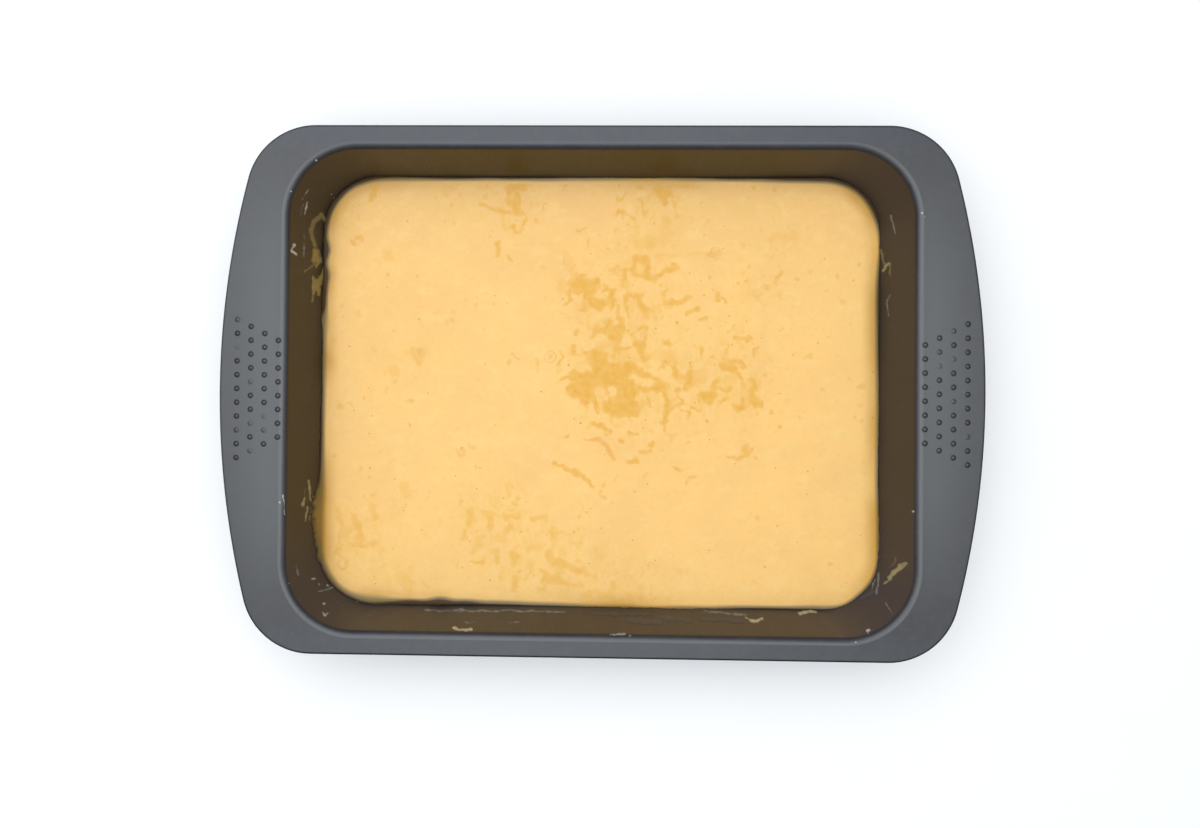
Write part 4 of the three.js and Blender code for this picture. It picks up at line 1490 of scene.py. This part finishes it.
def add_dishes(name, shapes, deep, material):
    """One piece of many small shapes on the sponge, which the sponge's own colour shows through."""
    points, faces = gathered(shapes)
    numbers = {"deep": np.concatenate(deep), **sponge_numbers(points[:, 0], points[:, 1])}
    made = add_piece(name, points, faces, material, numbers)
    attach(made, "root")
    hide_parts("soaked_sponge")
    return made


def build_pores():
    shapes = []
    angles = round_turns(PORE_SEGMENTS)
    for number, (x, y, radius) in enumerate(pore_places()):
        loops = uneven_loops(PORE_DISH, x, y, radius, angles, PORE_WAVER, PORE_SEED + number)
        points, faces = loft(loops)
        points[-2:, :2] = x, y
        shapes.append((points, faces))
    deep = np.append(np.repeat([share for _, _, share in PORE_DISH], PORE_SEGMENTS), (1.0, 0.0))
    return add_dishes("pores", shapes, [deep] * len(shapes), dish_material("pore", PORE_BROWN))


def build_bubble_rings():
    """A band round each large bubble, fuller on the side where its crescent stands."""
    shapes, deep = [], []
    angles = round_turns(RING_SEGMENTS)
    for number, (u, v, radius, crescent) in enumerate(BUBBLE_RINGS):
        x, y, _ = on_level((u, v), SPONGE_LEVEL)[0]
        loops = uneven_loops(RING_BAND, x, y, radius, angles, RING_WAVER, RING_SEED + number)
        shapes.append((np.vstack(loops), joined_loops(loops, closed=True)))
        towards = np.cos(angles - math.radians(crescent)) - 1
        full = CRESCENT_LEAST + (1 - CRESCENT_LEAST) * np.exp(CRESCENT_FOCUS * towards)
        deep.append(np.concatenate([full * share for _, _, share in RING_BAND]))
    return add_dishes("bubble_rings", shapes, deep, dish_material("bubble_ring", RING_BROWN))


for made in (build_pores(), build_bubble_rings()):
    print(made.name, len(made.data.polygons), "faces")

# %% [markdown]
# ## The clinging edge
#
# Wet batter climbs the steel where they meet, and dries there as an olive film. This
# ring fills the crease between sponge and wall: it lies level on the sponge, then curves
# up the wall and thins out. It could be part of the sponge, but as a piece of its own it
# can carry how far each point has climbed, so that the brim's olive ends in grease.

# %% Clinging edge
EDGE_REACH = 3.0  # mm that it reaches in over the sponge
EDGE_CLIMB = 0.9  # mm that it climbs everywhere
EDGE_CURVE = 0.45  # mm from the wall within which most of the climb happens
EDGE_STEPS = 16
EDGE_CROWDING = 2.2  # above 1, its steps lie closer together towards the wall
EDGE_DIP = 0.05  # mm that its inner edge lies under the sponge's top
EDGE_LIFT = 0.015  # mm that it comes and goes there, in waves of this size
LIFT_SIZE = 6
EDGE_SKIN = 0.02  # mm, how thin it is at its top
EDGE_SUNK = 0.3  # mm that its underside lies in the sponge and in the steel
EDGE_FINE = 3
UNDER_SHARES = (0.02, 0.35, 1.0)  # places of the underside's loops, as shares of the reach
SHOWN_CLIMB = 0.45  # mm across that a mm of climb shows from above
MOST_SHOWN = 2  # mm of climb that count for its colour
CLIMB_WAVES = ((14, 51, 0.40), (3.5, 52, 0.20))  # size in mm, seed and strength
LEAST_CLIMB = 0.25
HIGH_FILM = [  # pixels of the photo: place and radius, then the extra climb in mm
    (327, 320, 22, 2.4), (323, 522, 38, 10.0), (330, 590, 24, 1.0), (334, 225, 22, 1.0),
    (372, 600, 26, 1.6), (420, 604, 26, 1.2), (880, 240, 24, 1.0), (870, 200, 26, 0.8),
    (392, 180, 22, 0.8), (324, 420, 40, 1.2), (876, 550, 36, 1.4), (860, 600, 26, 0.8),
    (600, 606, 40, 0.9), (660, 606, 50, 1.3), (710, 606, 34, 0.8),
]


def climb_at(x, y):
    """How high the film climbs the wall beside a point of the sponge's edge, in mm."""
    waves = sum(strength * cloud_noise(x, y, size, seed) for size, seed, strength in CLIMB_WAVES)
    climb = EDGE_CLIMB + spot_sums(x, y, HIGH_FILM)[0]
    return np.maximum(climb * (1 + waves), LEAST_CLIMB)


def beside_wall(inset, height):
    """A loop beside the wall, with an inset and a height for each of its points."""
    base = wall_loop(0, SPONGE_LEVEL, EDGE_FINE)
    up = wall_loop(0, SPONGE_LEVEL + 1, EDGE_FINE) - base
    inward = wall_loop(-1, SPONGE_LEVEL, EDGE_FINE) - base
    return base + up * (height - SPONGE_LEVEL)[:, None] + inward * inset[:, None]


def build_clinging_edge():
    x, y, _ = wall_loop(0, SPONGE_LEVEL, EDGE_FINE).T
    ones = np.ones(len(x))
    climb = climb_at(x, y)
    lift = EDGE_LIFT * cloud_noise(x, y, LIFT_SIZE, seed=53) - EDGE_DIP
    top, risen, from_wall = [], [], []
    for share in np.linspace(0, 1, EDGE_STEPS + 1):
        inset = EDGE_SKIN + EDGE_REACH * (1 - share) ** EDGE_CROWDING
        rise = climb * math.exp((EDGE_SKIN - inset) / EDGE_CURVE)
        loop = beside_wall(inset * ones, SPONGE_LEVEL + rise)
        loop[:, 2] += open_top(loop[:, 0], loop[:, 1]) - SPONGE_LEVEL + lift * (1 - share)
        top.append(loop)
        risen.append(rise / climb)
        from_wall.append(inset - SHOWN_CLIMB * np.minimum(rise, MOST_SHOWN))
    low, high = (loop[:, 2] - EDGE_SUNK for loop in (top[0], top[-1]))
    under = [beside_wall((share * EDGE_REACH - EDGE_SUNK) * ones, low) for share in UNDER_SHARES]
    loops = [*top, beside_wall(-EDGE_SUNK * ones, high), *under]
    points = np.vstack(loops)
    hidden = np.zeros(len(x) * (len(loops) - len(top)))
    numbers = sponge_numbers(points[:, 0], points[:, 1], np.concatenate([*from_wall, hidden]))
    numbers["climbed"] = np.concatenate([*risen, hidden])
    faces = joined_loops(loops, closed=True)
    return add_piece("clinging_edge", points, faces, clinging_material(), numbers)


def clinging_material():
    finish = new_finish("clinging_batter")
    climbed = finish.attribute("climbed")
    streak = finish.noise(2.0, detail=3, roughness=0.6)
    fading = (climbed + streak * 0.5).within(0.70, 1.35)
    shader = finish.node("ShaderNodeBsdfPrincipled", sockets={
        "Base Color": finish.mix(fading, brim_colour(finish), grease_and_sheen_colour(finish)),
        "Roughness": 0.45 + streak * 0.14, "Normal": finish.bump(streak, 0.05),
        "IOR": 1.25, "Specular IOR Level": 0.5,
    })
    return finish.surface(shader)


clinging_edge = build_clinging_edge()
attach(clinging_edge, "root")
clinging_top = max(corner[2] for corner in clinging_edge.bound_box)
print("clinging edge:", len(clinging_edge.data.polygons), "faces, up to", round(clinging_top / MM, 1), "mm")

# %% [markdown]
# ## Smears on the walls
#
# When the tin was carried and tapped, batter and syrup ran up the walls and left smears:
# a loose loop on the left wall, drips below it, and dabs in the near corners. They are
# films like the pools, but their seat is the leaning wall. The line of sight through
# each pixel is halved again and again until it is found where it passes the steel.

# %% Seats on the wall
HALVINGS = 26
SLOPE_STEP = 0.05  # mm to both sides, for measuring slopes
ON_FLANGE = -0.05  # mm, a wall distance below which a seat lies on the flat flange


def hollow_size(height):
    """Half length, half width and corner radius of the hollow at heights, roll included."""
    up_roll = np.clip(height - (TIN_HEIGHT - ROLL_RADIUS), 0, ROLL_RADIUS)
    inset = np.sqrt(ROLL_RADIUS ** 2 - up_roll ** 2)
    roll = [size - inset for size in MOUTH]
    return [np.where(height > WALL_TOP_Z, *sizes) for sizes in zip(roll, wall_size(0, height))]


def wall_distance(points):
    """How far points lie inside the tin's inner wall or roll at their own height, in mm."""
    return inside_distance(points[:, 0], points[:, 1], *hollow_size(points[:, 2]))


def on_wall(pixels):
    """Where lines of sight through pixels meet the wall, the roll or the flange, in mm."""
    toward = lines_of_sight(pixels)
    low = np.full(len(toward), SHEET + FLOOR_FILLET)
    high = np.full(len(toward), TIN_HEIGHT)
    for _ in range(HALVINGS):
        middle = (low + high) / 2
        points = EYE + toward * ((middle - EYE[2]) / toward[:, 2])[:, None]
        inside = wall_distance(points) > 0
        high = np.where(inside, middle, high)
        low = np.where(inside, low, middle)
    return points


def wall_normals(points):
    """Directions straight out of the steel: the slopes of the distance, or up on the flange."""
    steps = np.eye(3) * SLOPE_STEP
    slopes = [wall_distance(points + step) - wall_distance(points - step) for step in steps]
    away = np.stack(slopes, axis=1)
    away[wall_distance(points) < ON_FLANGE] = (0, 0, 1)
    return away / np.linalg.norm(away, axis=1)[:, None]


print("a spot on the left wall:", np.round(on_wall((305, 400))[0], 1))

# %% [markdown]
# ## Strokes of the smears
#
# Read off the photo like the pools: thin olive films, thick ones, pale runs of batter,
# creamy dabs of it, dry white flecks on the roll and the flange, duller grey ones,
# faint tide lines that it left when it sank back, and a haze of it on the near wall.

# %% Strokes of the smears
THIN_SMEARS = [
    (3.0, 320, 216, 314, 222, 311.5, 230), (2.5, 311.5, 230, 312, 238, 315, 245),
    (2.4, 321, 216, 326, 222, 328, 227), (1.5, 314, 245, 319, 250), (1.1, 328, 229, 327, 240),
    (1.3, 305, 271, 312, 265, 316, 263), (2, 323, 312, 324, 330), (1.6, 324, 330, 325, 345),
    (2.4, 322, 480, 321, 505), (4, 320, 508, 319, 540), (2.6, 321, 540, 325, 566),
    (0.9, 305, 489, 304, 497), (1.2, 311, 500, 311.5, 510, 310, 520), (1.6, 882, 250, 884, 262),
    (1.2, 889, 263, 891, 275), (1.1, 896, 556, 895, 562, 890, 568),
]
OLIVE_SMEARS = [
    (3.6, 316, 252, 317, 260), (2.4, 314, 250, 313, 261), (2.4, 319, 262, 316, 266),
    (2.6, 327, 267, 324, 272, 321, 279), (3.8, 318, 282, 317, 288), (2.2, 321, 277, 321, 283),
    (2, 314, 279, 314, 293), (2.2, 319, 289, 319, 294), (1.3, 314, 292, 312, 301),
    (2.2, 358, 600, 390, 603, 403, 601),
]
PALE_RUNS = [
    (1.3, 313, 276, 313, 292), (1.1, 320, 252, 322, 263), (1.5, 308.5, 480, 309.5, 490, 309.5, 499),
    (1.5, 304.5, 498, 303, 506), (1.2, 307, 507, 305.5, 521), (1, 314, 497),
    (1.5, 883, 271, 885.5, 266, 889, 263), (1.5, 885, 583.5, 890, 579), (2.5, 889, 579, 894, 573),
    (3.0, 894, 573, 900, 567), (2.0, 899, 565, 906, 563), (1.6, 901, 569, 905, 565),
]
CREAMY_DABS = [
    (1.7, 453, 627, 459, 630, 465, 630.5, 471, 629), (1.2, 745, 617, 749, 620),
    (1.8, 751, 621, 757, 620.5, 762, 619), (1.8, 799, 613.5, 804, 612, 809, 611.5),
    (1.3, 809, 611.5, 816, 612.5),
]
WHITE_FLECKS = [
    (1.4, 294, 245, 291.5, 250.5, 297, 254), (1.2, 308, 202, 306, 209), (1.4, 315.5, 161),
    (1.6, 291.5, 191), (0.9, 331, 194), (0.9, 334, 198), (0.8, 337, 195), (0.9, 283, 495, 285, 515),
    (1.2, 856, 642.5), (1, 843, 637), (1.3, 922, 213), (1.3, 913, 512), (1.1, 279, 503),
    (0.8, 925, 216), (0.8, 910, 515), (1.2, 867, 630.5, 870, 630), (0.8, 868, 633),
]
GREY_FLECKS = [
    (0.9, 309, 188, 302, 200), (0.9, 306, 209, 304, 214), (1.1, 289, 583),
    (1.4, 312.5, 579, 315.5, 578), (1.3, 319, 584.5), (1.2, 327.5, 585), (1.6, 324, 604),
    (1.3, 322.5, 613, 325, 615.5, 328, 613), (1.0, 455, 610.3, 463, 610.5), (1.0, 610, 635, 625, 634),
    (0.9, 613, 639), (0.8, 630, 635),
]
FAINT_LINES = [
    (1.2, 425, 610.5, 455, 610.8, 500, 611, 565, 611.5), (1.2, 705, 611, 730, 613.5, 746, 614.5),
    (1.2, 665, 618, 671, 618), (0.9, 510, 622, 520, 622), (0.8, 465, 622.5, 475, 622.5),
    (1, 319, 591, 334, 587), (1, 296, 566, 298.5, 575), (1.1, 890, 295, 887, 302, 889, 316),
    (1.3, 891, 216, 895, 232), (1, 886, 603, 892, 614), (1, 874, 579, 872, 589),
    (0.9, 303, 205, 300, 216), (0.9, 304, 236, 304, 256), (1.3, 879, 573, 878, 584, 876, 594),
]
HAZES = [
    (3.6, 628, 620, 660, 622), (3.0, 655, 616, 690, 621), (2.4, 592, 613, 650, 614),
    (1.8, 441, 610, 460, 611), (1.3, 336, 604, 346, 600), (3, 700, 618, 742, 621),
    (3, 862, 598, 872, 592),
]
SMEARS = {
    "thin": THIN_SMEARS, "olive": OLIVE_SMEARS, "pale": PALE_RUNS, "cream": CREAMY_DABS,
    "white": WHITE_FLECKS, "grey": GREY_FLECKS, "faint": FAINT_LINES, "haze": HAZES,
}
SMEAR_GAPS = [(1.5, 328, 242, 325, 252, 324, 262), (1.7, 327.5, 276, 325, 288, 323.5, 300)]
print("strokes of the smears:", sum(len(strokes) for strokes in SMEARS.values()))

# %% [markdown]
# ## The smears as films
#
# Each smear is opaque too: by its depth it mixes the greased coating into its colour.
# The whole inside of the wall is searched, and the roll and the flange above it. Cells
# under the sponge are dropped.

# %% Smears
SMEAR_BOX = (270, 148, 934, 650)
SMEAR_STEP = 0.75  # these are in the same units as the syrup's
SMEAR_THICKNESS = 0.12
SMEAR_CONTACT = 0.8
SMEAR_FRAY = 0.8
SMEAR_TATTER = 0.5
SMEAR_FADE = 0.8
SMEAR_MELT = 0.6
SMEAR_WHITES = ("white", "grey", "faint", "haze")
THIN_PALENESS = 0.4  # how pale the thin smears are, beside the pale runs
SMEAR_STRENGTH = {
    "thin": 0.50, "olive": 0.85, "pale": 0.78, "cream": 0.95,
    "white": 0.90, "grey": 0.56, "faint": 0.30, "haze": 0.045,
}
OLIVE = (0.330, 0.245, 0.080)
PALE = (0.440, 0.390, 0.200)
CREAM = (0.560, 0.520, 0.330)
FLECK_WHITE = (0.700, 0.720, 0.700)


def smear_material():
    finish = new_finish("batter_smear")
    depth = finish.attribute("depth")
    batter = finish.mix(finish.attribute("pale"), OLIVE, PALE)
    batter = finish.mix(finish.attribute("cream"), batter, CREAM)
    batter = finish.mix(finish.attribute("white"), batter, FLECK_WHITE)
    streak = finish.noise(1.6, detail=3, roughness=0.6)
    shader = finish.node("ShaderNodeBsdfPrincipled", sockets={
        "Base Color": finish.mix(depth * (0.70 + streak * 0.5), grease_and_sheen_colour(finish), batter),
        "Roughness": 0.28 + streak * 0.14, "Normal": finish.bump(streak, 0.04),
        "IOR": 1.45, "Specular IOR Level": 0.5,
    })
    return finish.surface(shader)


def build_smears():
    grid = MarkGrid(SMEAR_BOX, SMEAR_STEP, SMEAR_FRAY, seed=31)
    field, shares = grid.marks(SMEARS, SMEAR_GAPS, SMEAR_MELT, 0.0, SMEAR_TATTER, seed=41)
    seats = on_wall(grid.pixels)
    level = seats[:, 2].reshape(field.shape)
    keep = (field < FILM_MARGIN) & (level > SPONGE_LEVEL - SPONGE_SHOULDER)
    strength = sum(shares[name] * SMEAR_STRENGTH[name] for name in SMEARS)
    height = film_height(field, PIXEL_ON_SPONGE, SMEAR_THICKNESS, SMEAR_CONTACT)
    depth = strength * (1 - np.exp(np.minimum(field, 0) / SMEAR_FADE))
    white = sum(shares[name] for name in SMEAR_WHITES)
    pale = shares["pale"] + shares["thin"] * THIN_PALENESS
    numbers = {"depth": depth, "pale": pale, "cream": shares["cream"], "white": white}
    normals = wall_normals(seats)
    return closed_film("wall_smears", keep, seats, normals, height, smear_material(), numbers)


smears = build_smears()
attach(smears, "root")
print("smears:", len(smears.data.polygons), "faces")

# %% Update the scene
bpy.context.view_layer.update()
